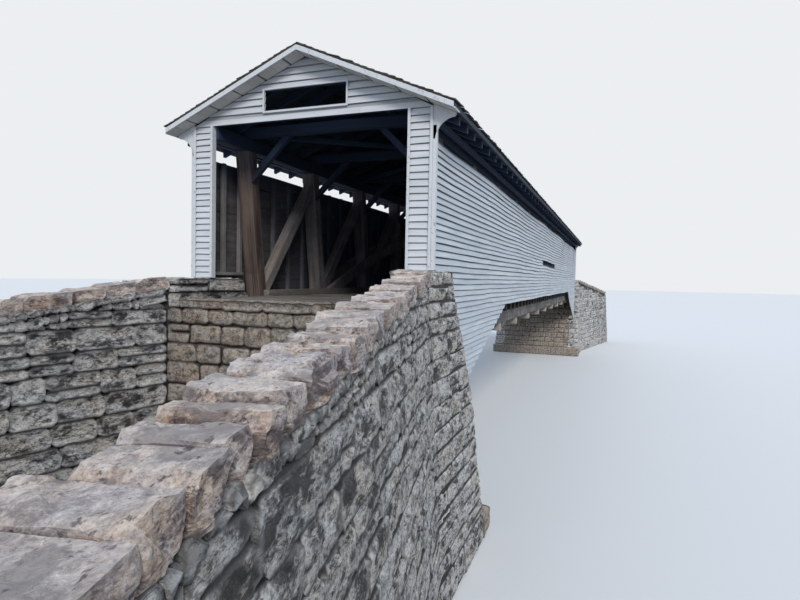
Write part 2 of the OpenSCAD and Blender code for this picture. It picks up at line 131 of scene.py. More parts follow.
# %% Node helpers
class Tree:
    def __init__(self, made):
        self.made, self.nodes, self.links = made, made.nodes, made.links

    def put(self, value, socket):
        if isinstance(value, bpy.types.NodeSocket):
            self.links.new(value, socket)
        elif socket.type == "RGBA":
            socket.default_value = (*value, 1.0)
        else:
            socket.default_value = value

    def add(self, kind, inputs, out=0, **settings):
        made = self.nodes.new("ShaderNode" + kind)
        for name, value in settings.items():
            setattr(made, name, value)
        for name, value in inputs.items():
            self.put(value, made.inputs[name])
        return made.outputs[out]

    def math(self, operation, a, b=0.0):
        return self.add("Math", {0: a, 1: b}, operation=operation)

    def plus(self, a, b):
        return self.math("ADD", a, b)

    def times(self, a, b):
        return self.math("MULTIPLY", a, b)

    def blend(self, factor, a, b, mode="MIX"):
        return self.add("Mix", {0: factor, 6: a, 7: b}, 2, data_type="RGBA",
            blend_type=mode)

    def tint(self, color, other, mask, share, mode="MIX"):
        """Lays another colour over the first by a share of a mask."""
        return self.blend(self.times(mask, share), color, other, mode)

    def spread(self, value, low, high, to_low=0.0, to_high=1.0):
        return self.add("MapRange", {0: value, 1: low, 2: high, 3: to_low, 4: to_high})

    def coat(self, color, other, mask, low, high, most):
        """Lays another colour over the first as the mask runs from low to high."""
        return self.blend(self.spread(mask, low, high, 0.0, most), color, other)

    def stretched(self, vector, *scale):
        return self.add("VectorMath", {0: vector, 1: scale}, operation="MULTIPLY")

    def sized(self, vector, size):
        return self.add("VectorMath", {0: vector, "Scale": size}, operation="SCALE")

    def moved(self, vector, by):
        return self.add("VectorMath", {0: vector, 1: by})

    def cloud(self, vector, scale=1.0, detail=4.0, roughness=0.6):
        return self.add("TexNoise", {"Vector": vector, "Scale": scale, "Detail": detail,
            "Roughness": roughness})

    def place(self):
        return self.add("TexCoord", {}, "Object")

    def part(self, vector, axis):
        return self.add("SeparateXYZ", {0: vector}, axis)


class Group(Tree):
    """A node group. An input of None is a vector, and every other one is a number."""
    def __init__(self, name, **inputs):
        super().__init__(bpy.data.node_groups.new(name, "ShaderNodeTree"))
        for label, value in inputs.items():
            made = self.socket(label, "INPUT", "Vector" if value is None else "Float")
            if value is not None:
                made.default_value = value
        self.given = self.nodes.new("NodeGroupInput").outputs

    def socket(self, label, way, kind):
        return self.made.interface.new_socket(label, in_out=way,
            socket_type="NodeSocket" + kind)

    def give(self, **outputs):
        for label in outputs:
            self.socket(label, "OUTPUT", "Float")
        ends = self.nodes.new("NodeGroupOutput").inputs
        for label, value in outputs.items():
            self.links.new(value, ends[label])
        return self.made


# %% [markdown]
# ## Shared effects
# Five effects serve all the finishes. The grain follows each board's own
# coordinates, so it runs along the wood whichever way the board lies. The
# weathering and the stone read object coordinates, so they run on from piece
# to piece as rain does. Edge wear reads how sharply the surface bends, and
# the inside shade marks where timber is darkened by painted shade: deep in
# the house and high under the roof.

# %% Wood grain, once for every timber and board
def make_grain_group():
    t = Group("wood_grain", Along=None, Tone=0.0, Fineness=1.0)
    tone = t.given["Tone"]
    shift = t.add("CombineXYZ", {0: t.times(tone, 37.0), 1: t.times(tone, 11.0)})
    fine = t.sized(t.moved(t.given["Along"], shift), t.given["Fineness"])
    fibre = t.cloud(t.stretched(fine, 6.0, 210.0, 1.0), 1.0, 3.0)
    bands = t.cloud(t.stretched(fine, 1.6, 26.0, 1.0))
    cracks = t.spread(t.cloud(t.stretched(fine, 1.1, 55.0, 1.0), 1.0, 2.0), 0.66, 0.72)
    height = t.math("SUBTRACT", t.plus(t.times(fibre, 0.5), t.times(bands, 0.5)), cracks)
    return t.give(Fibre=fibre, Bands=bands, Cracks=cracks, Height=height)


# %% Weathering in patches, once for every finish
def make_weather_group():
    t = Group("weather", Size=1.0, Amount=0.5, Softness=0.2)
    patches = t.cloud(t.sized(t.place(), t.given["Size"]), 1.0, 6.0, 0.68)
    low = t.math("SUBTRACT", 1.0, t.given["Amount"])
    return t.give(Mask=t.spread(patches, low, t.plus(low, t.given["Softness"])))


# %% Edge wear, once for every finish
def make_edge_group():
    t = Group("edge_wear", Start=0.52, Full=0.60)
    bend = t.add("NewGeometry", {}, "Pointiness")
    return t.give(Mask=t.spread(bend, t.given["Start"], t.given["Full"]))


# %% Rough limestone, once for every stone finish
def make_stone_group():
    t = Group("limestone", Tone=0.0)
    shift = t.add("CombineXYZ", {2: t.times(t.given["Tone"], 9.0)})
    own = t.stretched(t.moved(t.place(), shift), 0.85, 0.50, 1.15)
    stir = t.add("TexNoise", {"Vector": own, "Scale": 12.0}, 1)
    bent = t.moved(own, t.stretched(stir, 0.06, 0.06, 0.06))

    def lines(scale, detail, roughness):
        """How far a place is from the thin lines on which a cloud is half full."""
        return t.math("ABSOLUTE",
            t.math("SUBTRACT", t.cloud(bent, scale, detail, roughness), 0.5))

    broad = t.cloud(own, 4.0)
    mottle = t.cloud(own, 17.0, 9.0, 0.80)
    grit = t.cloud(own, 110.0, 5.0, 0.80)
    beds = t.cloud(t.stretched(own, 9.0, 9.0, 60.0), 1.0, 5.0, 0.65)
    smears = t.cloud(t.stretched(own, 7.0, 7.0, 11.0), 1.0, 8.0, 0.74)
    pits = t.spread(t.cloud(own, 55.0, 3.0, 0.55), 0.38, 0.30)
    cracks = t.times(t.spread(lines(5.0, 5.0, 0.6), 0.009, 0.001),
        t.spread(broad, 0.50, 0.56))
    rough = t.plus(mottle, t.plus(t.times(beds, 0.5), t.times(grit, 0.35)))
    rough = t.plus(rough, t.spread(lines(24.0, 6.0, 0.7), 0.0, 0.12, 0.0, 0.3))
    deep = t.plus(t.times(pits, 0.30), t.times(cracks, 0.5))
    return t.give(Broad=broad, Mottle=mottle, Grit=grit,
        Blotches=t.cloud(bent, 8.0, 10.0, 0.72), Flecks=t.cloud(bent, 36.0, 8.0, 0.82),
        Smears=t.spread(smears, 0.55, 0.64), Pits=pits, Cracks=cracks,
        Height=t.math("SUBTRACT", rough, deep))


# %% Painted shade deep in the house and under the roof, once for every timber
def make_inside_shade_group():
    t = Group("shelter")
    place = t.place()
    z = t.part(place, 2)
    along = t.math("ABSOLUTE", t.part(place, 1))
    deep = t.spread(along, END_Y - 0.6, END_Y - 3.4, 0.0, 0.9)
    high = t.spread(z, DECK_Z + 1.10, DECK_Z + 1.55)
    # The mask is the painted shade: it grows deep in the house and high under the roof, and
    # is 0 under the deck.
    return t.give(Mask=t.times(t.math("MAXIMUM", deep, high),
        t.spread(z, DECK_Z - 0.12, DECK_Z + 0.06)))


GRAIN, WEATHER, EDGES = make_grain_group(), make_weather_group(), make_edge_group()
LIMESTONE, INSIDE_SHADE = make_stone_group(), make_inside_shade_group()
print("groups:", [group.name for group in bpy.data.node_groups])

# %% [markdown]
# ## Finishes
# Each finish mixes its colours from the shared effects. Old white paint is
# thin: under every lap a dark strip is painted, dirt and painted shadow in
# one, and the wood shows at the lower edges. Oak that was never painted is
# brown with grey weathered patches, and deep in the house and under the roof
# it is tinted navy as painted shade.

# %% Helpers for a finish
class Finish(Tree):
    """A material, from its own tree to the one shader that it feeds."""
    def __init__(self, name):
        self.material = bpy.data.materials.new(name)
        self.material.use_nodes = True
        super().__init__(self.material.node_tree)
        self.shader = next(n for n in self.nodes if n.type == "BSDF_PRINCIPLED")

    def use(self, group, **inputs):
        made = self.nodes.new("ShaderNodeGroup")
        made.node_tree = group
        for name, value in inputs.items():
            self.put(value, made.inputs[name])
        return made.outputs

    def weather(self, size, amount, softness):
        return self.use(WEATHER, Size=size, Amount=amount, Softness=softness)["Mask"]

    def worn_edges(self, start, full):
        return self.use(EDGES, Start=start, Full=full)["Mask"]

    def own(self, name):
        return self.add("Attribute", {}, "Fac", attribute_name=name)

    def wood(self, fineness):
        """The grain, by each board's tone and its own lengths."""
        self.tone, self.lengths = self.own("tone"), self.add("UVMap", {}, uv_map="grain")
        return self.use(GRAIN, Along=self.lengths, Tone=self.tone, Fineness=fineness)

    def along_bridge(self, start, full):
        """0 up to one distance from midspan, and 1 past the other."""
        y = self.part(self.place(), 1)
        return self.spread(self.math("ABSOLUTE", y), start, full)

    def done(self, color, roughness, height=None, strength=1.0, distance=0.0):
        self.put(color, self.shader.inputs["Base Color"])
        self.put(roughness, self.shader.inputs["Roughness"])
        if height is not None:
            self.put(self.add("Bump", {"Height": height, "Strength": strength,
                "Distance": distance}), self.shader.inputs["Normal"])
        return self.material


# %% White paint on lapped boards
def white_boards(name, shade, pale, lap, lap_shadow_share, lap_shadow_colour):
    """lap is where the dirt and painted shadow under the next board start, and where they
    are full.
    """
    t = Finish(name)
    grain = t.wood(1.0)
    across = t.part(t.lengths, 1)
    paint = t.blend(t.spread(grain["Bands"], 0.40, 0.75), t.blend(t.tone, shade, pale),
        [0.86 * value for value in shade])
    # The strip just under the next board's butt: dirt and painted lap shadow in one.
    under = t.times(t.spread(across, *lap), t.spread(grain["Fibre"], 0.1, 0.6, 0.5, 1.0))
    color = t.tint(paint, lap_shadow_colour, under, lap_shadow_share)
    butts = t.times(t.spread(across, 0.006, -0.001), t.spread(grain["Bands"], 0.45, 0.6))
    bare = t.times(t.weather(7.0, 0.40, 0.08), t.spread(grain["Fibre"], 0.5, 0.62))
    color = t.tint(color, (0.30, 0.27, 0.24), t.math("MAXIMUM", butts, bare), 0.45)
    color = t.tint(color, (0.38, 0.39, 0.39), t.weather(1.3, 0.55, 0.35), 0.30)
    rough = t.spread(grain["Bands"], 0.3, 0.7, 0.55, 0.75)
    return t.done(color, rough, grain["Height"], 0.35, 0.002)


# %% White paint on flat trim
def white_trim():
    t = Finish("white_trim")
    fine = t.weather(28.0, 0.42, 0.06)
    color = t.tint((0.60, 0.62, 0.64), (0.44, 0.45, 0.46), t.weather(3.0, 0.50, 0.30), 0.4)
    chips = t.times(t.worn_edges(0.51, 0.56), fine)
    return t.done(t.tint(color, (0.28, 0.25, 0.22), chips, 0.7), 0.6, fine, 0.12, 0.002)


# %% Oak, with painted shade deep in the house and under the roof
# SHADED is the navy painted shade laid over the oak in the house; CRACKED is the dark of
# the cracks.
BLEACHED, RUBBED = (0.37, 0.36, 0.35), (0.46, 0.36, 0.29)
SHADED, CRACKED = (0.009, 0.025, 0.062), (0.012, 0.010, 0.009)


def oak(name, dark, light, grey, grey_share, shade=0.75, ends=None, worn_share=0.0,
        bleached=0.0):
    """ends is the same three colours for the timbers next to the portals. What is
    bleached are the tails that stand out below the deck."""
    t = Finish(name)
    grain = t.wood(0.6)
    if ends:
        at_end = t.along_bridge(END_Y - 1.62, END_Y - 1.58)
        dark, light, grey = [t.blend(at_end, inner, outer)
                             for inner, outer in zip((dark, light, grey), ends)]
    color = t.blend(t.spread(grain["Bands"], 0.3, 0.7), dark, light)
    color = t.tint(color, dark, t.tone, 0.4)
    color = t.tint(color, grey, t.weather(2.2, grey_share, 0.3), 0.75)
    if bleached:
        below = t.spread(t.part(t.place(), 2), DECK_Z - 0.09, DECK_Z - 0.13)
        color = t.tint(color, BLEACHED, below, bleached)
    color = t.tint(color, dark, t.spread(grain["Fibre"], 0.35, 0.65), 0.35)
    if worn_share:
        rubbed = t.times(t.worn_edges(0.53, 0.62),
            t.spread(grain["Bands"], 0.35, 0.55, 0.2, 1.0))
        color = t.tint(color, RUBBED, rubbed, worn_share)
    # Painted shade: deep in the house and high under the roof the oak is tinted navy, by
    # its shade share.
    color = t.tint(color, SHADED, t.use(INSIDE_SHADE)["Mask"], shade)
    color = t.blend(grain["Cracks"], color, CRACKED)
    return t.done(color, 0.85, grain["Height"], 0.7, 0.006)


# %% Roof boards, white only where they show past the gable, in painted shade over the house
def roof_boards_finish():
    t = Finish("roof_board")
    grain = t.wood(0.8)
    # Painted shade: over the house the bare boards are near-black navy, for the shade under
    # the eaves.
    bare = t.blend(t.spread(grain["Bands"], 0.3, 0.7), (0.008, 0.011, 0.018),
        (0.020, 0.026, 0.036))
    paint = t.blend(t.spread(grain["Fibre"], 0.35, 0.7), (0.62, 0.62, 0.61),
        (0.50, 0.49, 0.47))
    paint = t.tint(paint, (0.42, 0.41, 0.39), t.tone, 0.5)
    color = t.blend(t.along_bridge(END_Y - 0.01, END_Y + 0.01), bare, paint)
    return t.done(color, 0.8, grain["Height"], 0.5, 0.003)


# %% Shingles
def shingle_wood():
    t = Finish("shingle_wood")
    grain = t.wood(1.4)
    up = t.part(t.lengths, 0)
    color = t.blend(t.tone, (0.055, 0.050, 0.046), (0.150, 0.140, 0.128))
    color = t.blend(t.spread(grain["Bands"], 0.4, 0.7), color, (0.085, 0.075, 0.066))
    # Each shingle is paler along its butt, and darker just under the butt of the course
    # above, as painted shade.
    color = t.tint(color, (0.20, 0.19, 0.175), t.spread(up, 0.018, 0.0), 0.4)
    color = t.tint(color, (0.020, 0.018, 0.017), t.spread(up, 0.055, 0.072), 0.7)
    color = t.tint(color, (0.060, 0.066, 0.045), t.weather(2.0, 0.42, 0.12), 0.35)
    return t.done(color, 0.9, grain["Height"], 0.6, 0.004)


# %% Limestone, squared, rubble and cap
def facing(t, axis):
    """How squarely the surface faces along an axis, from -1 to 1."""
    return t.part(t.add("NewGeometry", {}, "True Normal"), axis)


def limestone(name, cool, warm, dark, pale, stains=(0.45, 0.45), bump=0.8, top=0.25,
              cracked=0.85, flecked=0.6, riser_shade=0.0, sooty=0.85):
    """stains is how much of the stone is stained, by the portals and past them."""
    t = Finish(name)
    tone = t.own("tone")
    rock = t.use(LIMESTONE, Tone=tone)
    color = t.blend(t.spread(rock["Broad"], 0.42, 0.58), cool, warm)
    color = t.coat(color, pale, tone, 0.0, 1.0, 0.30)
    color = t.coat(color, dark, rock["Mottle"], 0.50, 0.41, 0.85)
    color = t.coat(color, pale, rock["Mottle"], 0.51, 0.61, 0.80)
    color = t.tint(color, pale, rock["Smears"], 0.55)
    color = t.coat(color, dark, rock["Flecks"], 0.48, 0.38, flecked)
    color = t.coat(color, pale, rock["Flecks"], 0.53, 0.63, flecked)
    color = t.coat(color, dark, rock["Grit"], 0.50, 0.38, 0.65)
    color = t.coat(color, pale, rock["Grit"], 0.54, 0.66, 0.50)
    share = t.spread(t.along_bridge(11.6, 13.2), 0.0, 1.0, *stains)
    share = t.plus(share, t.times(t.weather(2.6, 0.52, 0.14), 0.08))
    soot = t.spread(rock["Blotches"], t.plus(share, 0.03), t.math("SUBTRACT", share, 0.05))
    color = t.tint(color, dark, soot, sooty)
    # Faces that look up are paler by the top share: weathering, and painted light from the
    # sky above.
    color = t.tint(color, pale, t.spread(facing(t, 2), 0.45, 0.85), top)
    color = t.tint(color, dark, rock["Pits"], 0.75)
    color = t.tint(color, dark, rock["Cracks"], cracked)
    color = t.tint(color, pale, t.worn_edges(0.52, 0.60), 0.35)
    # Painted shade: each stone is darkened along its rim, where it meets the joints.
    color = t.coat(color, dark, t.own("rim"), 0.30, 0.90, 0.92)
    # Painted shade: faces that look along the bridge, the capstones' risers, are darkened
    # and warmed.
    if riser_shade:
        faced = t.spread(t.math("ABSOLUTE", facing(t, 1)), 0.60, 0.85)
        color = t.tint(color, (0.40, 0.31, 0.26), faced, riser_shade, "MULTIPLY")
    return t.done(color, 0.92, rock["Height"], bump, 0.016)


# %% Lime mortar, deep in the joints, darker than lime as painted shade
def joint_shade_mortar(name, dry, damp):
    t = Finish(name)
    color = t.blend(t.weather(2.0, 0.55, 0.25), dry, damp)
    return t.done(color, 0.95, t.weather(30.0, 0.55, 0.3), 0.8, 0.010)


# %% One finish for each kind of surface
# The side boards' lap strip is near-black navy, mostly painted shadow; the portal boards'
# is grey, dirt and painted shadow.
SIDE_BOARDS = white_boards("side_boards", (0.47, 0.52, 0.565), (0.565, 0.61, 0.65),
    (0.051, 0.057), 1.0, (0.016, 0.022, 0.034))
PORTAL_BOARDS = white_boards("portal_boards", (0.57, 0.59, 0.62), (0.65, 0.66, 0.68),
    (0.053, 0.059), 0.75, (0.20, 0.21, 0.23))
WHITE_TRIM = white_trim()
# Painted shade: the oak of the rafters, plates, chords, ties and dark backing is darker
# than the wood, and takes nearly the full inside shade.
SHADED_DARK_OAK = oak("dark_oak", (0.022, 0.018, 0.016), (0.065, 0.054, 0.047),
    (0.105, 0.098, 0.095), 0.45, 0.92)
CHORD_OAK = oak("chord_oak", (0.035, 0.032, 0.030), (0.160, 0.148, 0.138),
    (0.380, 0.370, 0.360), 0.53, 0.8)
UNDER_OAK = oak("under_oak", (0.010, 0.009, 0.008), (0.032, 0.027, 0.024),
    (0.050, 0.047, 0.045), 0.45, 0.8)
HEWN_OAK = oak("hewn_oak", (0.085, 0.074, 0.068), (0.290, 0.260, 0.245),
    (0.430, 0.420, 0.420), 0.54, 0.50, ((0.020, 0.012, 0.011), (0.078, 0.046, 0.040),
    (0.120, 0.087, 0.081)), 0.65, 0.8)
BRACE_OAK = oak("brace_oak", (0.080, 0.070, 0.066), (0.250, 0.225, 0.215),
    (0.400, 0.390, 0.390), 0.56, 0.50, worn_share=0.7)
STUD_OAK = oak("stud_oak", (0.090, 0.082, 0.080), (0.230, 0.220, 0.215),
    (0.320, 0.318, 0.320), 0.60, 0.9)
BACK_OAK = oak("board_back_oak", (0.058, 0.050, 0.050), (0.160, 0.144, 0.146),
    (0.250, 0.247, 0.258), 0.52, 0.85)
DECK_OAK = oak("deck_oak", (0.090, 0.078, 0.066), (0.200, 0.175, 0.150),
    (0.300, 0.280, 0.255), 0.60, 0.5)
RIDGE_OAK = oak("ridge_oak", (0.040, 0.037, 0.034), (0.120, 0.112, 0.104),
    (0.165, 0.158, 0.150), 0.50, 0.0)
ROOF_BOARD = roof_boards_finish()
SHINGLE = shingle_wood()
SQUARED = limestone("squared_stone", (0.30, 0.275, 0.25), (0.36, 0.27, 0.19),
    (0.045, 0.037, 0.031), (0.54, 0.47, 0.40), (0.40, 0.40), sooty=0.7)
RUBBLE = limestone("rubble_stone", (0.56, 0.56, 0.555), (0.62, 0.555, 0.47),
    (0.014, 0.014, 0.016), (0.88, 0.86, 0.83), (0.44, 0.48), 1.05, flecked=0.42,
    sooty=0.92)
CAP = limestone("cap_stone", (0.46, 0.405, 0.42), (0.66, 0.45, 0.30),
    (0.070, 0.055, 0.066), (0.84, 0.76, 0.69), (0.46, 0.46), 0.8, 0.30, 0.0, 0.65, 0.35,
    0.75)
# Painted shade: the mortar in the joints is near-black, and the piers' a dark brown, far
# darker than lime.
SHADED_MORTAR = joint_shade_mortar("mortar", (0.040, 0.037, 0.034), (0.014, 0.013, 0.013))
SHADED_PIER_MORTAR = joint_shade_mortar("pier_mortar", (0.150, 0.122, 0.098), (0.060, 0.048, 0.040))
print("finishes:", [m.name for m in bpy.data.materials])

# %% [markdown]
# ## Light and floor
# A soft sun stands high on the camera's side, and the world fills the shade. The
# floor is a plain plane at the foot of the masonry. A floor as pale as it looks
# would throw too much light up at the bridge, so it is pale to the camera only,
# through Is Camera Ray, and darker to the light. The world is done in the same
# way, so that its paleness adds no light.

# %% Light, world and floor
FLOOR_REACH = 400.0
SUN_FROM = Vector((0.44, -0.70, 0.53))


def lit_and_seen(t, lit, seen):
    """One colour for the light on the bridge, and one for the camera and mirrors."""
    ray = t.nodes.new("ShaderNodeLightPath").outputs
    plainly = t.math("MAXIMUM", ray["Is Camera Ray"],
        t.math("MAXIMUM", ray["Is Glossy Ray"], ray["Is Transmission Ray"]))
    return t.blend(plainly, lit, seen)


def make_lights():
    sun = show(bpy.data.objects.new("sun", bpy.data.lights.new("sun", "SUN")))
    sun.data.energy = 2.0
    sun.data.angle = radians(16)
    sun.data.color = (1.0, 0.965, 0.92)
    sun.rotation_euler = SUN_FROM.to_track_quat("Z", "Y").to_euler()
    world = bpy.data.worlds.new("world")
    bpy.context.scene.world = world
    world.use_nodes = True
    t = Tree(world.node_tree)
    back = next(n for n in t.nodes if n.type == "BACKGROUND")
    t.put(lit_and_seen(t, (0.62, 0.73, 0.90), (0.84, 0.86, 0.88)), back.inputs["Color"])


def make_floor():
    bm = bmesh.new()
    bmesh.ops.create_grid(bm, x_segments=1, y_segments=1, size=FLOOR_REACH / 2)
    mesh = bpy.data.meshes.new("floor")
    bm.to_mesh(mesh)
    bm.free()
    t = Finish("floor")
    mesh.materials.append(t.done(lit_and_seen(t, (0.27, 0.27, 0.26), (0.72, 0.72, 0.71)),
        0.9))
    floor = show(bpy.data.objects.new("floor", mesh))
    floor.location.z = cad_low.z - 0.001


make_lights()
make_floor()
print("lights and floor ready")

# %% [markdown]
# ## Helpers for pieces
# Boards, shingles and stones are all blocks with six faces. A block is drawn
# in three lengths of its own: along the wood, across it and out from its back.
# A function then puts each corner in its place, so one helper serves a wall, a
# roof slope and a floor. Each block carries a tone, a number that makes it a
# little lighter or darker than the next one, and a map of its own lengths.

# %% Block helper
def start_mesh():
    bm = bmesh.new()
    bm.loops.layers.uv.new("grain")
    bm.faces.layers.float.new("tone")
    return bm


def lay_block(bm, low, high, place, tone, finish=0, back=None):
    """A block between two corners, given as (along, across, out). Its back may have
    a finish of its own."""
    lengths = bm.loops.layers.uv["grain"]
    tones = bm.faces.layers.float["tone"]
    verts = bmesh.ops.create_cube(bm, size=1.0)["verts"]
    own = {}
    for vert in verts:
        own[vert] = [high[i] if vert.co[i] > 0 else low[i] for i in range(3)]
        vert.co = place(*own[vert])
    for face in {face for vert in verts for face in vert.link_faces}:
        face[tones] = tone
        face.material_index = finish
        if back is not None and all(own[v][2] == low[2] for v in face.verts):
            face.material_index = back
        for loop in face.loops:
            along, across, out = own[loop.vert]
            loop[lengths].uv = (along - low[0], across - low[1] - (high[2] - out))


def join_mesh(bm, part):
    """Adds a small mesh to a large one. Blocks are quick to add while a mesh is small."""
    mesh = bpy.data.meshes.new("part")
    part.to_mesh(mesh)
    part.free()
    bm.from_mesh(mesh)
    bpy.data.meshes.remove(mesh)


def cut(bm, point, normal, clear=False):
    made = bmesh.ops.bisect_plane(bm, geom=bm.verts[:] + bm.edges[:] + bm.faces[:],
        plane_co=point, plane_no=normal, dist=1e-5, clear_outer=clear)["geom_cut"]
    return [part for part in made if isinstance(part, bmesh.types.BMEdge)]


def cut_at(bm, axis, start, stop, step):
    """Adds a loop of vertices wherever a plane square to an axis meets the mesh."""
    normal = Vector([1.0 if i == axis else 0.0 for i in range(3)])
    for i in range(1, ceil((stop - start) / step)):
        cut(bm, normal * (start + i * step), normal)


def cut_off(bm, point, normal):
    """Takes away what lies past a plane, and closes the cut."""
    bmesh.ops.holes_fill(bm, edges=cut(bm, point, normal, True), sides=0)


def ease(bm, width, segments=1, edges=None):
    """Bevels the edges that are given, or all of them."""
    bmesh.ops.bevel(bm, geom=bm.edges[:] if edges is None else edges, offset=width,
        affect="EDGES", segments=segments, profile=0.5, material=-1)


def warp(bm, move):
    """Moves each vertex by a rule that knows its place and its block's tone."""
    tones = bm.faces.layers.float["tone"]
    for vert in bm.verts:
        vert.co += move(vert.co, vert.link_faces[0][tones] if vert.link_faces else 0)


def keep_inside(bm):
    for vert in bm.verts:
        vert.co = Vector([min(max(vert.co[i], cad_low[i]), cad_high[i])
                          for i in range(3)])


def make_piece(name, bm, finishes, nodes=(), smooth_below=None):
    bmesh.ops.recalc_face_normals(bm, faces=bm.faces)
    mesh = bpy.data.meshes.new(name)
    bm.to_mesh(mesh)
    bm.free()
    for material in finishes:
        mesh.materials.append(material)
    if smooth_below is not None:
        mesh.polygons.foreach_set("use_smooth", [True] * len(mesh.polygons))
        mesh.set_sharp_from_angle(angle=radians(smooth_below))
    piece = show(bpy.data.objects.new(name, mesh))
    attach(piece, "root")
    if nodes:
        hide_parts(*nodes)
    print(name, "triangles:", sum(len(p.vertices) - 2 for p in mesh.polygons))


# %% [markdown]
# ## Lapped side boards
# Each side is covered with thin boards nailed to the studs, every one lapping
# over the one below. They could be bump on a slab, but their lower edges stand
# proud, sag and cast the dark lines that make the wall. So each board is a
# wedge: thick at its lower edge, thin where the next one covers it.

# %% Rows of boards
LAP = 0.014
BUTT_T, TIP_T = 0.011, 0.005
BOARD_L, BOARD_GAP = (1.5, 2.6), 0.0015


def rows(*levels, about=0.061):
    """Splits each stretch between two levels into rows of equal height."""
    out = []
    for low, high in zip(levels, levels[1:]):
        count = max(1, round((high - low) / about))
        out += [(low + (high - low) * i / count, low + (high - low) * (i + 1) / count)
                for i in range(count)]
    return out


def clapboard(bm, wall, low_run, high_run, z0, z1, rng, butt=BUTT_T):
    """A board from z0 up to z1 and a lap more. Each run is its two ends on the wall,
    low_run on the board's lower edge and high_run on its upper one. Out runs from
    -1 at the board's back to 0 at its front."""
    tone = rng.random()
    lift = rng.uniform(0.0, 0.003)
    tilt = rng.uniform(-0.0025, 0.0025)

    def place(along, across, out):
        up = (across - z0) / (z1 + LAP - z0)
        run = [low_run[i] + (high_run[i] - low_run[i]) * up for i in (0, 1)]
        low_out = out * butt + lift
        high_out = out * TIP_T - (SIDING_T - TIP_T)
        share = (along - low_run[0]) / (low_run[1] - low_run[0])
        return wall(run[0] + share * (run[1] - run[0]),
            low_out + (high_out - low_out) * up,
            across + tilt * (1 if share > 0.5 else -1))

    lay_block(bm, (low_run[0], z0, -1.0), (low_run[1], z1 + LAP, 0.0), place, tone,
        back=1)


def lengths_along(start, stop, sizes, least, rng):
    """Parts a stretch into lengths. The last one takes up what is under the least."""
    while start < stop - 0.01:
        end = start + rng.uniform(*sizes)
        if end > stop - least:
            end = stop
        yield start, end
        start = end


def run_of_boards(bm, wall, low_run, high_run, z0, z1, rng, butt=BUTT_T):
    """Fills a row with boards of broken lengths, butted end to end."""
    for start, end in lengths_along(*low_run, BOARD_L, 0.5, rng):
        first, last = start == low_run[0], end == low_run[1]
        if not last:
            end -= BOARD_GAP
        clapboard(bm, wall, (start, end), (high_run[0] if first else start,
            high_run[1] if last else end), z0, z1, rng, butt)


# %% [markdown]
# ## Where the side boards stop
# The skirts hang down beside each portal and are cut off on a slope, one board
# at a time. The slit window is two boards high. At the near end the boards
# stop short of the stone that the portal stands on.

# %% Outline of a side wall
SKIRT_L, SKIRT_FLAT = 3.65, 0.30
SKIRT_FOOT, MID_FOOT = -1.26, -0.12
SLIT_L, SLIT_Z, SLIT_H, SLIT_SLANT = 2.85, 0.57, 0.115, 0.060
WALL_TOP, CORNER_TOP = 1.475, 1.60
STONE_TOP = {1: 0.305, -1: 0.200}
FACE_Y, FACE_BATTER = 0.630, 0.24
GAP = 0.008
STONE_GAP_Y = 0.655
CORNER_W, CORNER_OUT = 0.048, 0.011


def skirt_reach(z):
    """How far from the portal the side boards reach at a height z below the deck."""
    share = (z - SKIRT_FOOT) / (MID_FOOT - SKIRT_FOOT)
    return SKIRT_FLAT + share * (SKIRT_L - SKIRT_FLAT)


def face_at(z):
    """Front face of an abutment, from the portal, at a height z above the deck."""
    return FACE_Y - FACE_BATTER * z


def side_stretches(side, z0, z1):
    """The runs of a row, as pairs of lower and upper ends along the bridge."""
    beside_stone = max(face_at(z0) + GAP, STONE_GAP_Y)
    above = z0 > STONE_TOP[side] - 0.01
    near = -END_Y + (CORNER_W if above else beside_stone)
    far = END_Y - (CORNER_W if above else 0.0)
    if z1 <= MID_FOOT + 0.001:
        low, high = END_Y - skirt_reach(z0), END_Y - skirt_reach(z1 + LAP)
        return [((near, -low), (near, -high)), ((low, far), (high, far))]
    if z0 >= SLIT_Z - 0.001 and z1 <= SLIT_Z + SLIT_H + 0.001:
        half = SLIT_L / 2
        ends = [half - SLIT_SLANT * (z - SLIT_Z) / SLIT_H for z in (z0, z1)]
        starts = [-half + SLIT_SLANT * (1 - (z - SLIT_Z) / SLIT_H) for z in (z0, z1)]
        return [((near, starts[0]), (near, starts[1])), ((ends[0], far), (ends[1], far))]
    return [((near, far), (near, far))]


# %% Lay both side walls
# How far the whole wall bulges and sinks, and how far each board does by itself.
BULGE, SINK = 0.042, 0.014
OWN_BULGE, OWN_SINK = 0.004, 0.005


def side_wall(side):
    rng = random.Random(31 + side)
    bm = start_mesh()

    def wall(along, out, z):
        return Vector((side * (SIDE_X + out), along, DECK_Z + z))

    levels = (SKIRT_FOOT, MID_FOOT, STONE_TOP[side], SLIT_Z, SLIT_Z + SLIT_H, WALL_TOP)
    for z0, z1 in rows(*levels):
        for low_run, high_run in side_stretches(side, z0, z1):
            run_of_boards(bm, wall, low_run, high_run, z0, z1, rng)
    cut_at(bm, 1, -END_Y, END_Y, 0.21)

    def sag(place, tone):
        z = place.z - DECK_Z
        own = Vector((tone * 50.0, place.y * 1.3, 0.0))
        wide = Vector((side * 3.0, place.y * 0.62, z * 0.9))
        long = Vector((side * 9.0, place.y * 0.55, 0.0))
        held = min(1.0, (END_Y - abs(place.y)) / 0.6)
        free = min(1.0, max(0.0, (z - SKIRT_FOOT) / 0.9))
        out = free * (0.012 + BULGE * noise.noise(wide)) + OWN_BULGE * noise.noise(own)
        drop = SINK * noise.noise(long) + OWN_SINK * noise.noise(own + Vector((7, 0, 3)))
        return Vector((side * max(out, -0.012) * held, 0.0, drop * held * free))

    warp(bm, sag)
    make_piece(f"{SIDES[side]}_side_boards", bm, [SIDE_BOARDS, BACK_OAK],
        [f"{SIDES[side]}_siding"])


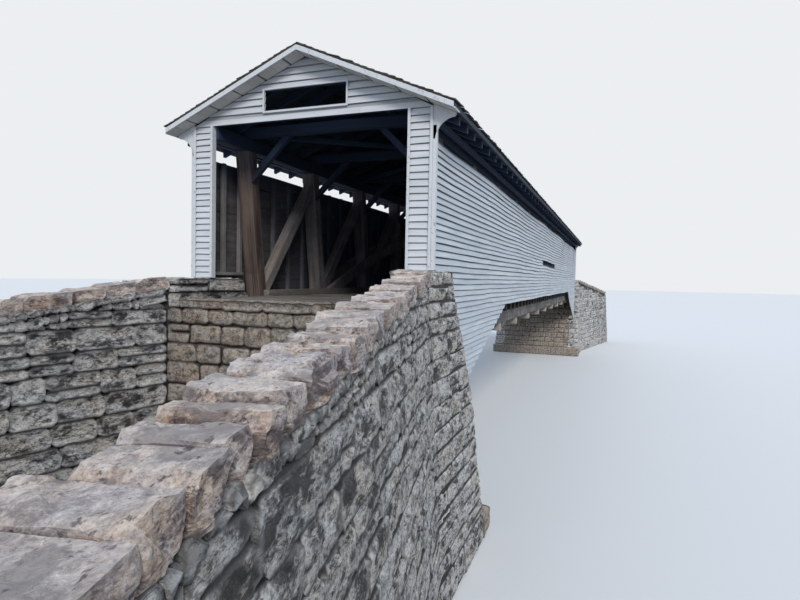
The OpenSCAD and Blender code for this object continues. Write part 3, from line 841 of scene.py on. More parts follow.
for side in SIDES:
    side_wall(side)


# %% Corner boards that close the ends of the rows
CORNERS = [(side, end) for end in (-1, 1) for side in (-1, 1)]


def corner_boards():
    bm = start_mesh()
    for side, end in CORNERS:
        lay_block(bm, (STONE_TOP[side] + 0.004, 0.0, -SIDING_T),
            (CORNER_TOP, CORNER_W - 0.002, CORNER_OUT), lambda a, c, o: Vector(
                (side * (SIDE_X + o), end * (END_Y - c), DECK_Z + a)), 0.5)
    ease(bm, 0.002, 2)
    make_piece("corner_boards", bm, [WHITE_TRIM])


corner_boards()

# %% [markdown]
# ## Portals
# A pier is a frame of studs boarded on the outside, and the gable over the
# opening is boarded in the same way. Boards run in under the roof, so each is
# cut to the roof's slope. Behind a pier's boards is one dark core, lined with
# white at the opening, and behind a gable's stand upright boards.

# %% Piers and gables
OPENING_W, OPENING_H = 2.142, 1.765
WINDOW_W, WINDOW_Z, WINDOW_H = 0.90, 1.86, 0.205
RIDGE_UNDER, ROOF_RISE = 2.35, 0.431
SIDING_X = SIDE_X - SIDING_T
PORTAL_BUTT_T, LINING_T = 0.008, 0.006
PIER_ROW, GABLE_ROW, FRAME_BOARD_W = 0.0637, 0.066, 0.15


def roof_under(x):
    return RIDGE_UNDER - ROOF_RISE * abs(x)


def portal_wall(end):
    """Points on a portal's face: x across the bridge, out from the face, z up."""
    return lambda x, out, z: Vector((x, end * (END_Y + out), DECK_Z + z))


def pier_boards(side, end):
    rng = random.Random(71 + 5 * side + end)
    bm = start_mesh()
    wall = portal_wall(end)
    foot, lining = STONE_TOP[side], OPENING_W / 2 + LINING_T
    run = sorted((side * (lining + 0.001), side * SIDING_X))
    for z0, z1 in rows(foot, OPENING_H, about=PIER_ROW):
        clapboard(bm, wall, run, run, z0, z1, rng, PORTAL_BUTT_T)
    inner_run = sorted((side * OPENING_W / 2, side * lining))
    for (low, high), front, finish in ((run, -SIDING_T, 1), (inner_run, 0.0, 2)):
        lay_block(bm, (foot, low, -PORTAL_T), (OPENING_H, high, front),
            lambda a, c, o: wall(c, o, a), 0.4, finish)
    name = f"{ENDS[end]}_{SIDES[side]}_pier"
    make_piece(f"{name}_boards", bm, [PORTAL_BOARDS, SHADED_DARK_OAK, WHITE_TRIM],
        [name])


def gable_runs(z0, z1):
    """The runs of a gable row, as pairs of lower and upper ends."""
    low_half = min(SIDING_X, (RIDGE_UNDER - z0) / ROOF_RISE)
    high_half = min(SIDING_X, max(0.02, (RIDGE_UNDER - z1 - LAP) / ROOF_RISE))
    if z0 >= WINDOW_Z - 0.001 and z1 <= WINDOW_Z + WINDOW_H + 0.001:
        inner = WINDOW_W / 2
        return [((-low_half, -inner), (-high_half, -inner)),
                ((inner, low_half), (inner, high_half))]
    return [((-low_half, low_half), (-high_half, high_half))]


def gable_boards(end):
    rng = random.Random(17 + end)
    bm = start_mesh()
    wall = portal_wall(end)
    levels = [(OPENING_H, WINDOW_Z)] + rows(WINDOW_Z, WINDOW_Z + WINDOW_H,
        RIDGE_UNDER - 0.015, about=GABLE_ROW)
    for z0, z1 in levels:
        for low_run, high_run in gable_runs(z0, z1):
            run_of_boards(bm, wall, low_run, high_run, z0, z1, rng, PORTAL_BUTT_T)
    frame_boards(bm, wall)
    name = f"{ENDS[end]}_gable"
    make_piece(f"{name}_boards", bm, [PORTAL_BOARDS, SHADED_DARK_OAK], [name])


def frame_boards(bm, wall):
    """Upright boards behind a gable, cut to the roof and round the window."""
    count = ceil(2 * SIDING_X / FRAME_BOARD_W)
    for i in range(count):
        x0 = -SIDING_X + 2 * SIDING_X * i / count
        x1 = -SIDING_X + 2 * SIDING_X * (i + 1) / count - 0.002
        stretches = [(OPENING_H, None)]
        if x1 > -WINDOW_W / 2 and x0 < WINDOW_W / 2:
            stretches = [(OPENING_H, WINDOW_Z), (WINDOW_Z + WINDOW_H, None)]
        for low, high in stretches:
            def place(along, across, out):
                top = roof_under(across) - 0.002 if high is None else high
                return wall(across, out, top if along > 0.5 else low)
            lay_block(bm, (0.0, x0, -PORTAL_T), (1.0, x1, -SIDING_T), place, 0.3, 1)


for end in ENDS:
    gable_boards(end)
    for side in (-1, 1):
        pier_boards(side, end)

# %% [markdown]
# ## Foot rails
# Just inside each pier a short grey timber runs along the foot of the side
# boards, on the parapet. It is one block with eased edges, laid once for each
# corner of the house.

# %% Rails at the foot of the side boards, by each portal
RAIL_L, RAIL_W, RAIL_H, RAIL_UP = 0.70, 0.085, 0.036, 0.030


def foot_rails():
    rng = random.Random(61)
    bm = start_mesh()
    for side, end in CORNERS:
        foot = DECK_Z + STONE_TOP[side] + RAIL_UP
        lay_block(bm, (PORTAL_T, 0.0, 0.001), (PORTAL_T + RAIL_L, RAIL_H, RAIL_W),
            lambda a, c, o: Vector((side * (SIDING_X - o), end * (END_Y - a), foot + c)),
            rng.random())
    ease(bm, 0.002)
    make_piece("foot_rails", bm, [STUD_OAK])


foot_rails()

# %% [markdown]
# ## Trim
# The jambs, the window frames, the curved eave boards and the rake boards have
# the right shape already. They stay as solids and only get their edges eased,
# by a Weld and a Bevel modifier, and white paint.

# %% Trim solids with eased edges
for node in ("near_portal_trim", "far_portal_trim", "rake_boards"):
    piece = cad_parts[node]
    weld = piece.modifiers.new("weld", "WELD")
    weld.merge_threshold = 0.00005
    bevel = piece.modifiers.new("bevel", "BEVEL")
    bevel.width, bevel.segments = 0.003, 2
    bevel.limit_method, bevel.angle_limit = "ANGLE", radians(30)
    piece.data.materials.clear()
    piece.data.materials.append(WHITE_TRIM)
    print(node, "eased and painted")

# %% [markdown]
# ## Roof
# Boards lie lengthwise on the rafters and show under the overhang. Over them
# lie split shingles, three deep, with ragged butts. Every shingle is a thin
# block of its own, because the eave and the ridge are seen against the light.

# %% Roof boards
RAKE_TOP, RAKE_T = 0.053, 0.014
ROOF_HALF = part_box("right_roof")[1].x
ROOF_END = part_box("right_roof")[1].y
BOARD_T, BOARD_W, LATH_T = 0.014, 0.135, 0.034


def slope(side):
    """Points on a slope: along the bridge, in from the eave, up from the boards."""
    def place(along, across, out):
        x = ROOF_HALF - across
        return Vector((side * x, along, DECK_Z + RIDGE_UNDER - ROOF_RISE * x + out))
    return place


def roof_boards(side):
    rng = random.Random(101 + side)
    bm = start_mesh()
    place = slope(side)
    count = round(ROOF_HALF / BOARD_W)
    width = ROOF_HALF / count
    for i in range(count):
        for start, end in lengths_along(-ROOF_END, ROOF_END, (1.6, 2.6), 0.6, rng):
            gap = 0.022 if i % 2 else rng.choice((0.003, 0.005))
            lay_block(bm, (start, i * width, 0.0),
                (end - 0.002, (i + 1) * width - gap, BOARD_T), place, rng.random())
    lay_block(bm, (-ROOF_END + 0.004, 0.006, BOARD_T),
        (ROOF_END - 0.004, ROOF_HALF, BOARD_T + LATH_T), place, 0.2, 1)
    make_piece(f"{SIDES[side]}_roof_boards", bm, [ROOF_BOARD, SHADED_DARK_OAK])


# %% Shingles
EXPOSURE, SHINGLE_L, SHINGLE_W = 0.070, 0.200, (0.045, 0.105)


def shingles(side):
    rng = random.Random(131 + side)
    bm = start_mesh()
    slope_place = slope(side)
    length = ROOF_HALF - 0.02
    count = round(length / EXPOSURE)
    step = length / count
    reach = ROOF_END + RAKE_T + 0.003
    for i in range(count):
        course = start_mesh()
        y = -reach - rng.uniform(0.0, 0.05)
        while y < reach:
            width = rng.uniform(*SHINGLE_W)
            low_y, high_y = max(y, -reach), min(y + width - 0.002, reach)
            if high_y - low_y > 0.012:
                butt = -0.012 + i * step + rng.uniform(-0.008, 0.006)
                top = min(butt + SHINGLE_L, ROOF_HALF - 0.001)
                thick = rng.uniform(0.004, 0.008)
                curl = rng.choice((0.0, 0.0, 0.0, 0.003, 0.007))
                skew = rng.uniform(-0.004, 0.004)

                def place(along, across, out):
                    below = (top - along) / (top - butt)
                    turn = skew if across > low_y else 0.0
                    return slope_place(across, along + turn * below,
                        RAKE_TOP - 0.001 + (0.021 + curl) * below + out)
                lay_block(course, (butt, low_y, 0.0), (top, high_y, thick), place,
                    rng.random())
            y += width
        join_mesh(bm, course)
    make_piece(f"{SIDES[side]}_shingles", bm, [SHINGLE],
        [f"{SIDES[side]}_roof"])


for side in SIDES:
    roof_boards(side)
    shingles(side)

# %% [markdown]
# ## Hewn timbers
# The trusses were squared with an axe, so no face is flat and no corner is
# sharp. Each timber's solid is copied, its corners are cut off by a bevel, it
# is cut across at short steps, and its vertices wander by a smooth noise. The
# grain map follows the longest edge of each timber. The studs end at the top of
# the side boards, which leaves the slot under the eave open.

# %% Hewing
def islands(bm):
    """Groups of vertices that hang together."""
    left = set(bm.verts)
    while left:
        group, front = set(), [next(iter(left))]
        while front:
            vert = front.pop()
            if vert in group:
                continue
            group.add(vert)
            front += [e.other_vert(vert) for e in vert.link_edges]
        left -= group
        yield group


def ends_of(edge):
    """The two places in a fixed order, which also settles ties between edges."""
    return sorted(tuple(vert.co) for vert in edge.verts)


def map_grain(bm, rng):
    lengths = bm.loops.layers.uv["grain"]
    tones = bm.faces.layers.float["tone"]
    groups = sorted(islands(bm), key=lambda group: min((v.co.y, v.co.x, v.co.z)
        for v in group))
    for group in groups:
        edges = {edge for vert in group for edge in vert.link_edges}
        longest = max(edges, key=lambda e: (round(e.calc_length(), 4), ends_of(e)))
        first, last = ends_of(longest)
        axis = (Vector(last) - Vector(first)).normalized()
        tone = rng.random()
        for face in {face for vert in group for face in vert.link_faces}:
            across = axis.cross(face.normal)
            face[tones] = tone
            for loop in face.loops:
                loop[lengths].uv = (loop.vert.co.dot(axis), loop.vert.co.dot(across))


def hew(node, material, chamfer, rough, steps, seed, flat=0.02, top=None):
    """Steps are how far apart the cuts across each axis are."""
    rng = random.Random(seed)
    bm = start_mesh()
    bm.from_mesh(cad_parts[node].data)
    bmesh.ops.remove_doubles(bm, verts=bm.verts, dist=1e-5)
    bmesh.ops.dissolve_limit(bm, angle_limit=flat, verts=bm.verts, edges=bm.edges)
    if top:
        cut_off(bm, Vector((0, 0, top)), Vector((0, 0, 1)))
    sharp = [e for e in bm.edges if e.calc_face_angle(0.0) > radians(20)]
    ease(bm, chamfer, edges=sharp)
    map_grain(bm, rng)
    low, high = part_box(node)
    for axis, step in enumerate(steps):
        if step:
            cut_at(bm, axis, low[axis], high[axis], step)

    def wander(place, tone):
        shift = Vector((tone * 31.0, 0.0, 0.0))
        fine = noise.noise_vector(place * 9.0 + shift) * rough
        wide = noise.noise_vector(place * 1.3 + shift) * rough * 1.2
        return fine + wide

    warp(bm, wander)
    keep_inside(bm)
    make_piece(f"{node}_hewn", bm, [material], [node])


for seed, side in enumerate(("left", "right")):
    for name, finish, step_y, step_z in (("posts", HEWN_OAK, 0.20, 0.20),
            ("braces", BRACE_OAK, 0.20, 0.20), ("lower_chord", CHORD_OAK, 0.30, None),
            ("upper_chord", SHADED_DARK_OAK, 0.30, None)):
        hew(f"{side}_{name}", finish, 0.007, 0.005, (None, step_y, step_z),
            seed + 3)
    hew(f"{side}_arch", BRACE_OAK, 0.006, 0.004, (None, 0.25, None),
        seed + 11, flat=0.0005)
for names, finish, chamfer, rough, steps, seed in (
        (["tie_beams"], SHADED_DARK_OAK, 0.006, 0.004, (0.25, None, None), 21),
        (["floor_beams"], UNDER_OAK, 0.006, 0.004, (0.25, None, None), 21),
        (["knee_braces", "upper_lateral_braces"], SHADED_DARK_OAK, 0.004, 0.003,
            (0.2, None, None), 22),
        (["left_rafters", "right_rafters"], SHADED_DARK_OAK, 0.003, 0.002, (0.4, None, None), 23),
        (["left_studs", "right_studs"], STUD_OAK, 0.002, 0.001, (None, None, 0.5), 24),
        (["wall_plates"], SHADED_DARK_OAK, 0.003, 0.002, (None, 0.5, None), 25),
        (["floor_joists"], UNDER_OAK, 0.003, 0.002, (None, 0.5, None), 25)):
    for node in names:
        hew(node, finish, chamfer, rough, steps, seed,
            top=DECK_Z + WALL_TOP + 0.004 if finish is STUD_OAK else None)

# %% [markdown]
# ## Deck
# Thick planks lie across the joists, each a little higher or lower than the
# next, with a kerb timber along each side.

# %% Planks and kerbs
DECK_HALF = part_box("deck_planks")[1].x
PLANK_W = (0.105, 0.150)
KERB_W, KERB_H, KERB_L = 0.075, 0.070, (2.4, 3.4)
KERB_END = END_Y - 0.75


def deck():
    rng = random.Random(5)
    bm = start_mesh()
    y = -END_Y
    while y < END_Y - 0.02:
        width = min(rng.uniform(*PLANK_W), END_Y - y)
        drop = rng.uniform(0.0, 0.003)
        lay_block(bm, (-DECK_HALF + rng.uniform(0, 0.008), y, -PLANK_T),
            (DECK_HALF - rng.uniform(0, 0.008), y + width - 0.003, -drop),
            lambda a, c, o: Vector((a, c, DECK_Z + o)), rng.random())
        y += width
    for side in (-1, 1):
        for y, end in lengths_along(-KERB_END, KERB_END, KERB_L, 0.8, rng):
            lay_block(bm, (y, DECK_HALF - KERB_W, 0.0), (end - 0.003, DECK_HALF, KERB_H),
                lambda a, c, o: Vector((side * c, a, DECK_Z + o)), rng.random())
    ease(bm, 0.003)
    cut_at(bm, 0, -DECK_HALF, DECK_HALF, 0.24)
    warp(bm, lambda p, tone: noise.noise_vector(p * 6.0 + Vector((0, 0, tone * 20)))
        * 0.0015)
    make_piece("deck_planks_laid", bm, [DECK_OAK], ["deck_planks"])


deck()

# %% [markdown]
# ## Ridge boards
# Two boards cap the ridge. They keep the solid's shape, in weathered wood.

# %% Ridge
hew("ridge_boards", RIDGE_OAK, 0.002, 0.002, (None, 0.6, None), 41)

# %% [markdown]
# ## Masonry
# The walls are limestone laid in level courses, with broken stones under the
# capstones, where the wall's top slopes. A stone starts as a cube whose corners
# are put in place. It could be rounded by a bevel, but a split stone has flat
# chips, sharp in one place and worn in another. So its faces are cut finer, each
# vertex goes in or out by the height of a broken surface, the rims are drawn in,
# and its corners are knocked off along planes. The stones stand out from a core
# of mortar.

# %% Levels of the courses
FOOT, SEAT_Z, POCKET_Z = -2.60, -0.83, -0.44
LEVELS = (FOOT, -2.30, -2.12, -1.95, -1.76, -1.58, -1.41, -1.22, -1.03, SEAT_Z, -0.62,
    POCKET_Z, -0.242, -0.10)
STONE_L = (0.17, 0.42)
JOINT = 0.004
WING_X, PARAPET_X, BODY_X = 1.45, 1.10, 1.208
BACK_Y, WING_L, WING_T = 0.45, 4.80, 0.23
WING_ANGLE, WING_BATTER = radians(11.5), 0.066
CAP_T = 0.11
WING_SLOPE = {1: 0.11, -1: 0.15}


def corner(side, end):
    """Turns a place drawn at the near right corner, with the portal at y 0."""
    return lambda p: Vector((side * p[0], -end * (p[1] - END_Y), DECK_Z + p[2]))


def outer_x(z, top):
    """Outer face of a parapet or wing wall, from its line at the top."""
    return WING_BATTER * -FOOT * (top - z) / (top - FOOT)


def wing_point(lx, u, z):
    """A place on a wing wall: out from its line, along it from the abutment, up."""
    return (WING_X + lx * cos(WING_ANGLE) + u * sin(WING_ANGLE),
            -BACK_Y + lx * sin(WING_ANGLE) - u * cos(WING_ANGLE), z)


# %% The height of a broken surface
# A look says how a stone's surface is broken, in metres: how far its corners stray, how
# full its face is, the height and length of its chips, how wide its rim is drawn in, how
# deep its corners are knocked off, as shares of its size, how much calmer its top is,
# and how much painted shade darkens its rim.
Look = namedtuple("Look", "jitter bulge break_h break_l rounding corners calm joint")
COURSED = Look(0.005, 0.017, 0.020, 0.080, 0.018, (0.05, 0.30), 0.0, 1.0)
SMALL = Look(0.006, 0.016, 0.020, 0.060, 0.018, (0.05, 0.28), 0.0, 0.75)
FAR = Look(0.003, 0.008, 0.011, 0.080, 0.008, (0.02, 0.12), 0.0, 0.4)
SLAB = Look(0.009, 0.006, 0.029, 0.120, 0.010, (0.05, 0.20), 0.93, 0.35)
BEDDING = Vector((0.75, 0.32, 1.0))
RIM_REACH = 0.022
FINE_SIZE, FINE_SHARE = 0.4, 0.35


def broken(place, size):
    """Flat chips that tilt each its own way, one round each scattered point. They
    are longer along the wall than they are high, as the stone's beds lie level."""
    point = place * BEDDING / size
    middle = noise.voronoi(point)[1][0]
    tilt = noise.noise_vector(middle * 5.7)
    return (point - middle).dot(tilt) + 0.35 * tilt.x


# %% One split stone
def split_stone(bm, corner_at, look, steps, rng, hidden_back=False, chips=()):
    """corner_at turns three signs, along, up and out, into the place of a corner.
    A chip is a direction in those axes and how deep it cuts in from the corner."""
    stone = start_stones()
    signs = stone.verts.layers.float_vector.new("signs")
    rims = stone.verts.layers.float["rim"]
    tones = stone.faces.layers.float["tone"]
    tone = rng.random()
    verts = bmesh.ops.create_cube(stone, size=2.0)["verts"]
    for vert in verts:
        vert[signs] = vert.co
        jitter = [rng.uniform(-look.jitter, look.jitter) for _ in range(3)]
        vert.co = corner_at(*vert.co) + Vector(jitter)
    for face in stone.faces:
        face[tones] = tone
    bmesh.ops.recalc_face_normals(stone, faces=stone.faces)
    middle = sum((v.co for v in verts), Vector()) / 8
    sides = [sum((v.co * v[signs][i] for v in verts), Vector()) / 8 for i in range(3)]
    half = [side.length for side in sides]
    outward = sides[2].normalized()
    cut_finer(stone, signs, half, steps, hidden_back)
    stone.normal_update()
    shift = Vector((0.0, tone * 17.0, tone * 29.0))
    for vert in stone.verts:
        vert[rims], push, sink = edge_pull(vert[signs], half, look)
        place = vert.co + shift
        rough = look.break_h * (broken(place, look.break_l)
            + FINE_SHARE * broken(place, look.break_l * FINE_SIZE))
        rough *= 1.0 - look.calm * min(1.0, 1.6 * max(0.0, vert.normal.z))
        rough += 0.004 * noise.noise(place * 60.0)
        if look.calm and abs(vert[signs].x) > 0.999:
            rough = 0.35 * rough - 0.003
        stir = noise.noise_vector(place * 13.0) * look.jitter
        vert.co += vert.normal * (push + rough) + outward * sink + stir
    smaller = min(half[0], half[1])
    cuts = [((a, c, 0.0), rng.uniform(*look.corners) * smaller)
            for a in (-1, 1) for c in (-1, 1)]
    for direction, depth in cuts + list(chips):
        knock_off(stone, middle, sides, direction, depth, rng)
    stone.verts.layers.float_vector.remove(signs)
    join_mesh(bm, stone)


def start_stones():
    bm = start_mesh()
    bm.verts.layers.float.new("rim")
    return bm


def cut_finer(stone, signs, half, steps, hidden_back):
    """Cuts the edges along each axis into parts of about one step."""
    for axis, step in enumerate(steps):
        count = round(2 * half[axis] / step) - 1 if step else 0
        run = []
        for edge in stone.edges:
            a, b = edge.verts[0][signs], edge.verts[1][signs]
            behind = hidden_back and a.z < -0.5 and b.z < -0.5
            if abs(a[axis] - b[axis]) > 1.0 and not behind:
                run.append(edge)
        if count > 0:
            bmesh.ops.subdivide_edges(stone, edges=run, cuts=count, use_grid_fill=True)


def edge_pull(sign, half, look):
    """How much painted shade a place gets near the rim, how far it is drawn in all round,
    and how far from the front. The level joints are deeper than the upright ones."""
    away = [(1.0 - abs(sign[i])) * half[i] for i in range(3)]
    to_faces = sorted(away)
    near = max(0.0, 1.0 - to_faces[1] / look.rounding)
    pull = -0.5 * look.rounding * near * near
    if abs(sign.z) < 0.999:
        return 0.4 * near * look.joint, pull, 0.0
    sink = look.bulge * max(exp(-away[1] / RIM_REACH), 0.45 * exp(-away[0] / RIM_REACH))
    level = max(0.0, 1.0 - away[1] / look.rounding)
    upright = max(0.0, 1.0 - away[0] / look.rounding)
    return max(level, 0.6 * upright) * look.joint, pull, -sink


def knock_off(stone, middle, sides, direction, depth, rng):
    """Presses what stands past a plane back onto it."""
    normal, point = Vector(), middle.copy()
    for side, share in zip(sides, direction):
        normal += side.normalized() * share * rng.uniform(0.7, 1.3)
        point += side * ((share > 0) - (share < 0))
    normal.normalize()
    point -= normal * depth
    for vert in stone.verts:
        past = (vert.co - point).dot(normal)
        if past > 0.0:
            vert.co -= normal * past


# %% A course of stones
Wall = namedtuple("Wall", "point depth steps look hidden_back")


def rule(value, z):
    return value(z) if callable(value) else value


def lay_stone(bm, wall, span, lows, highs, rng, deep=False):
    """A stone between two places on a wall, with a low and a high level at each."""
    back = rng.uniform(0.0, 0.7 * wall.look.bulge)

    def corner_at(along, up, out):
        end = 1 if along > 0 else 0
        z = highs[end] - JOINT if up > 0 else lows[end] + (JOINT if lows[end] > FOOT else 0)
        where = rule(span[end], z) - along * JOINT
        reach = rule(wall.depth[1], z) - back if out > 0 else rule(wall.depth[0], z)
        return wall.point(where, reach, z)

    steps = wall.steps if deep else wall.steps[:2]
    split_stone(bm, corner_at, wall.look, steps, rng, wall.hidden_back and not deep)


def stone_row(bm, wall, start, stop, z0, z1, rng, sizes=STONE_L, holes=(), limit=None,
              deep_ends=(False, False), deep=False, split=0.18):
    """A course of stones, whose first end may follow a rule of z. It ends where the
    limit comes down to it. The result lists the stretches that it covers."""
    first = rule(start, (z0 + z1) / 2)
    place, laid = first, []
    while place < stop - 0.02:
        end = place + rng.uniform(*sizes)
        if end > stop - sizes[0] * 0.7:
            end = stop
        for low, high in holes:
            if place < low < end:
                end = low
            if low - 0.001 <= place < high:
                place, end = high, min(stop, high + rng.uniform(*sizes))
        if place >= stop - 0.005 or (limit is not None and limit(end) < z1 + 0.03):
            break
        span = (start if place == first else place, end)
        whole = deep or (deep_ends[0] and place == first) or (deep_ends[1] and end == stop)
        levels = (z0, z1)
        if rng.random() < split and z1 - z0 > 0.13:
            levels = (z0, z0 + (z1 - z0) * rng.uniform(0.38, 0.62), z1)
        for low, high in zip(levels, levels[1:]):
            lay_stone(bm, wall, span, (low, low), (high, high), rng, whole)
        laid.append((place, end))
        place = end
    return laid


FILL_LAYERS, FILL_H, FILL_L = 6, (0.050, 0.085), (0.20, 0.55)


def rubble_fill(bm, wall, filled, limit, stop, rng):
    """Small stones between the last full courses and the bed of the capstones."""
    def level(u):
        return max([top for a, b, top in filled if a - 0.001 <= u <= b + 0.001] + [FOOT])

    steps = sorted({b for a, b, top in filled})
    depth = 0.0
    for layer in range(FILL_LAYERS):
        thick = rng.uniform(*FILL_H)
        u = -rng.uniform(0.0, 0.05)
        while u < stop:
            end = u + rng.uniform(*FILL_L)
            end = min([s for s in steps if u + 0.03 < s < end + 0.03] + [end, stop])
            start = max(u, 0.0)
            under = level((start + end) / 2)
            tops = [limit(p) - depth for p in (start, end)]
            if min(tops) - under > 0.018 and end - start > 0.03:
                lows = [top - thick for top in tops]
                lows = [under if low < under + 0.028 else low for low in lows]
                lay_stone(bm, wall, (start, end), lows, tops, rng,
                    layer == 0 or end >= stop - 0.001)
            u = end
            if end >= stop - 0.001:
                break
        depth += thick


# %% Mortar behind the stones
MORTAR_DEPTH, SMOOTH_BELOW = 0.026, 42


def add_core(bm, node, broken_off=None):
    """The solid itself, drawn in a little, as the mortar behind the stones. What is
    broken off lies past a plane, given as a point and a normal."""
    core = bmesh.new()
    core.from_mesh(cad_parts[node].data)
    bmesh.ops.remove_doubles(core, verts=core.verts, dist=1e-5)
    bmesh.ops.recalc_face_normals(core, faces=core.faces)
    moves = {v: v.normal * MORTAR_DEPTH * v.calc_shell_factor() for v in core.verts}
    for vert, move in moves.items():
        vert.co -= move
    for vert in core.verts:
        vert.co.z = max(vert.co.z, cad_low.z + 0.002)
    if broken_off:
        point, normal = broken_off
        cut_off(core, point - normal * MORTAR_DEPTH, normal)
    count = len(bm.faces)
    join_mesh(bm, core)
    bm.faces.ensure_lookup_table()
    for face in bm.faces[count:]:
        face.material_index = 1


# %% Wing walls with their parapet blocks
QUOIN = 0.24
STONE_STEPS = {(1, -1): (0.024, 0.019, 0.03), (-1, -1): (0.034, 0.027, 0.04)}
FAR_STEPS = (0.055, 0.042, 0.06)
COARSE_Z, LARGE_Z = -1.4, -0.7
LOW_L, HIGH_L = (0.28, 0.66), (0.22, 0.58)
BROKEN_CORNER = Vector((1.45, 0.19, 0.30)), Vector((0.910, 0.345, 0.230))


def broken_corner(side, end):
    """The plane on which a parapet's outer front corner has broken off."""
    point, normal, nowhere = [corner(side, end)(p) for p in (*BROKEN_CORNER, (0, 0, 0))]
    return point, (normal - nowhere).normalized()


def break_off(bm, point, normal):
    for vert in bm.verts:
        past = (vert.co - point).dot(normal)
        if past > -0.03:
            past += 0.024 * broken(vert.co, 0.085)
            if past > 0.0:
                vert.co -= normal * past


def parapet_rows(bm, side, end, steps, look, z0, z1, rng):
    """One course of a parapet. At the far end the side boards run on over it."""
    top = STONE_TOP[side]
    turn_corner = corner(side, end)
    inner = PARAPET_X if z0 >= LEVELS[-1] else max(BODY_X, WING_X - QUOIN)
    wall = Wall(lambda y, x, z: turn_corner((x, -y, z)),
        (inner, lambda z: WING_X + outer_x(z, top)), steps, look, False)
    deep, start, top_z = z1 > -0.05, lambda z: -face_at(z), z1
    if end > 0 and z1 > SKIRT_FOOT:
        row = wall._replace(depth=(inner, SIDING_X - GAP))
        if z0 < SKIRT_FOOT:
            row, z1 = wall, SKIRT_FOOT - GAP
        stone_row(bm, row, start, 0.0, z0, z1, rng, LOW_L, deep=deep,
            deep_ends=(True, False), split=0.0)
        start, z1 = 0.0, top_z
    stone_row(bm, wall, start, BACK_Y, z0, z1, rng, LOW_L, deep=deep,
        deep_ends=(True, False), split=0.12)


def wing_wall(side, end):
    rng = random.Random(211 + 7 * side + 3 * end)
    top, fall = STONE_TOP[side], WING_SLOPE[side]
    turn_corner = corner(side, end)
    steps = STONE_STEPS.get((side, end), FAR_STEPS)
    bm = start_stones()

    def limit(u):
        return top - CAP_T - fall * u + 0.006

    look = COURSED if end < 0 else FAR
    wing = Wall(lambda u, lx, z: turn_corner(wing_point(lx, u, z)),
        (-WING_T, lambda z: outer_x(z, top)), steps, look, False)
    filled = []
    above = rows(LEVELS[-1], top, about=0.14)
    for z0, z1 in list(zip(LEVELS, LEVELS[1:])) + above:
        sizes, split = (LOW_L, 0.12) if z1 < LARGE_Z else (HIGH_L, 0.4)
        fine = steps if z1 > COARSE_Z else tuple(1.3 * step for step in steps)
        laid = stone_row(bm, wing._replace(steps=fine), 0.0, WING_L, z0, z1, rng, sizes,
            limit=limit, deep_ends=(False, True), split=split)
        filled += [(a, b, z1) for a, b in laid]
        parapet_rows(bm, side, end, fine, look, z0, z1, rng)
    rubble_fill(bm, wing._replace(look=SMALL), filled, limit, WING_L, rng)
    node = f"{ENDS[end]}_{SIDES[side]}_wing_wall"
    broken_off = broken_corner(side, end) if end < 0 else None
    if broken_off:
        break_off(bm, *broken_off)
    add_core(bm, node, broken_off)
    keep_inside(bm)
    make_piece(f"{node}_stones", bm, [RUBBLE, SHADED_MORTAR], [node],
        SMOOTH_BELOW)


# %% Abutments
CHORD_POCKET = (1.012, 1.216)
SEATS = ((0.947, 1.028), (1.192, 1.273))
FOOTING_OUT = 0.17
BACK_X = 1.258


def mirrored(gaps):
    return sorted([(-b, -a) for a, b in gaps] + [(a, b) for a, b in gaps])


def abutment(end):
    rng = random.Random(301 + end)
    turn_corner = corner(1, end)
    bm = start_stones()
    steps = (0.036, 0.028, 0.05) if end < 0 else (0.045, 0.036, 0.06)
    look = COURSED if end < 0 else FAR
    front = Wall(lambda x, y, z: turn_corner((x, y, z)),
        (lambda z: face_at(z) - QUOIN, face_at), steps, look, True)
    back = front._replace(depth=(QUOIN - BACK_Y, -BACK_Y))
    for z0, z1 in zip(LEVELS, LEVELS[1:]):
        holes = ()
        if z0 == POCKET_Z:
            holes = mirrored([CHORD_POCKET])
        if z0 == SEAT_Z:
            holes = mirrored(SEATS)
        stone_row(bm, front, -BODY_X, BODY_X, z0, z1, rng, holes=holes)
        stone_row(bm, back, -BACK_X, BACK_X, z0, z1, rng)
    foot = WING_X + WING_BATTER * -FOOT
    footing = front._replace(hidden_back=False,
        depth=(lambda z: face_at(z) - 0.05, face_at(FOOT) + FOOTING_OUT))
    stone_row(bm, footing, -foot, foot, FOOT, LEVELS[1], rng, (0.3, 0.55), deep=True,
        split=0)
    sill = front._replace(depth=(-BACK_Y, -0.002), hidden_back=False)
    stone_row(bm, sill, -PARAPET_X, PARAPET_X, LEVELS[-1], -0.01, rng, (0.35, 0.6),
        deep=True, split=0)
    node = f"{ENDS[end]}_abutment"
    add_core(bm, node)
    keep_inside(bm)
    make_piece(f"{node}_stones", bm, [SQUARED, SHADED_PIER_MORTAR], [node],
        SMOOTH_BELOW)


# %% [markdown]
# ## Capstones
# Rough slabs lie along the tops of the wing walls. Each is nearly level, so each
# is a step lower than the one before. Their outer faces were broken, not cut:
# they lean in towards the foot, and the corners between two slabs are gone.

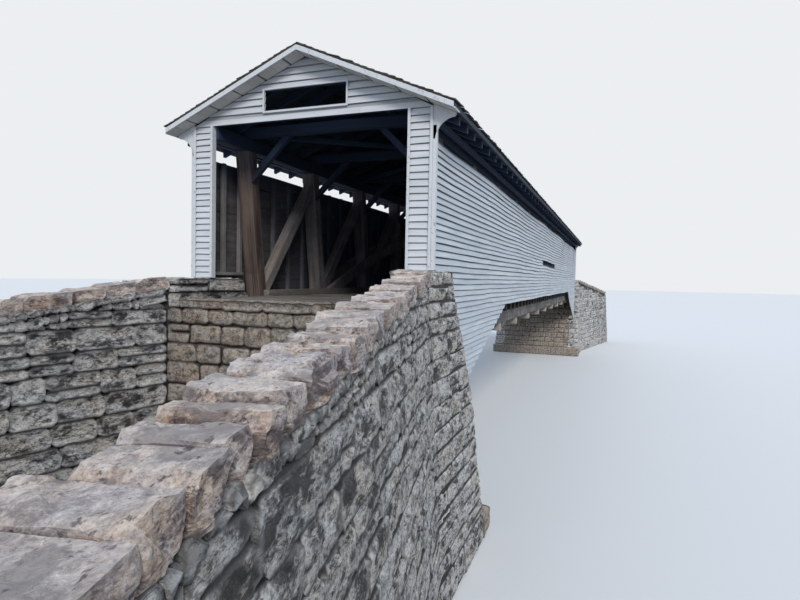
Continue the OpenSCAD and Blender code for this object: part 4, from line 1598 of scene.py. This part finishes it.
# %% Capstones
CAP_JOINTS = (-0.02, 0.27, 0.60, 0.91, 1.23, 1.46, 1.69, 1.99, 2.24, 2.485, 2.70, 2.86,
    3.14, 3.34, 3.475, 3.61, 3.765, 3.93, 4.12, 4.30, 4.46, 4.63, 4.80)
CAP_CHIPS = (((-0.30, 0.15, 1.0), (0.000, 0.012)), ((0.45, -0.30, 1.0), (0.004, 0.022)),
    ((0.1, -1.0, 0.9), (0.008, 0.032)), ((-1.0, -0.60, 0.9), (0.020, 0.062)),
    ((1.0, -0.70, 0.9), (0.016, 0.056)), ((0.0, -0.4, -1.0), (0.0, 0.02)))
CLOSE_U = 2.4


def capstones(side, end):
    rng = random.Random(401 + 11 * side + 2 * end)
    top, fall = STONE_TOP[side], WING_SLOPE[side]
    turn_corner = corner(side, end)
    bm = start_stones()
    close_wall = side > 0 and end < 0
    joints = list(CAP_JOINTS)
    if not close_wall:
        joints[1:-1] = [u + rng.uniform(-0.05, 0.05) for u in joints[1:-1]]
    for start, stop in zip(joints, joints[1:]):
        middle = (start + stop) / 2
        step = rng.uniform(-0.002, 0.003)
        tilt = fall - rng.uniform(0.014, 0.024) / (stop - start)
        reach = (-WING_T + rng.uniform(-0.012, 0.030), rng.uniform(0.006, 0.040))
        under = rng.uniform(0.0, 0.012)
        skew = [rng.uniform(-0.010, 0.010) for _ in range(2)]

        def corner_at(along, up, out):
            u = (stop if along > 0 else start) - along * 0.7 * JOINT
            u += skew[0 if along > 0 else 1] * out if start < u < WING_L - 0.01 else 0.0
            z = top - fall * middle - tilt * (u - middle) - step
            if up < 0:
                z = top - CAP_T - fall * u - under
            return turn_corner(wing_point(reach[1 if out > 0 else 0], u, z))

        fine = close_wall and middle > CLOSE_U
        steps = (0.011, 0.011, 0.013) if fine else (0.030, 0.026, 0.030)
        chips = [(direction, rng.uniform(*depth)) for direction, depth in CAP_CHIPS]
        split_stone(bm, corner_at, SLAB, steps, rng, chips=chips)
    keep_inside(bm)
    node = f"{ENDS[end]}_{SIDES[side]}_capstones"
    make_piece(f"{node}_rough", bm, [CAP], [node], 40)


for end in ENDS:
    abutment(end)
    for side in (-1, 1):
        wing_wall(side, end)
        capstones(side, end)

# %% [markdown]
# ## Sizes
# The box of the solids is printed at the end. The visual model has to stay
# inside the box of the solids.

# %% Sizes
print("cad box", cad_low[:], cad_high[:])
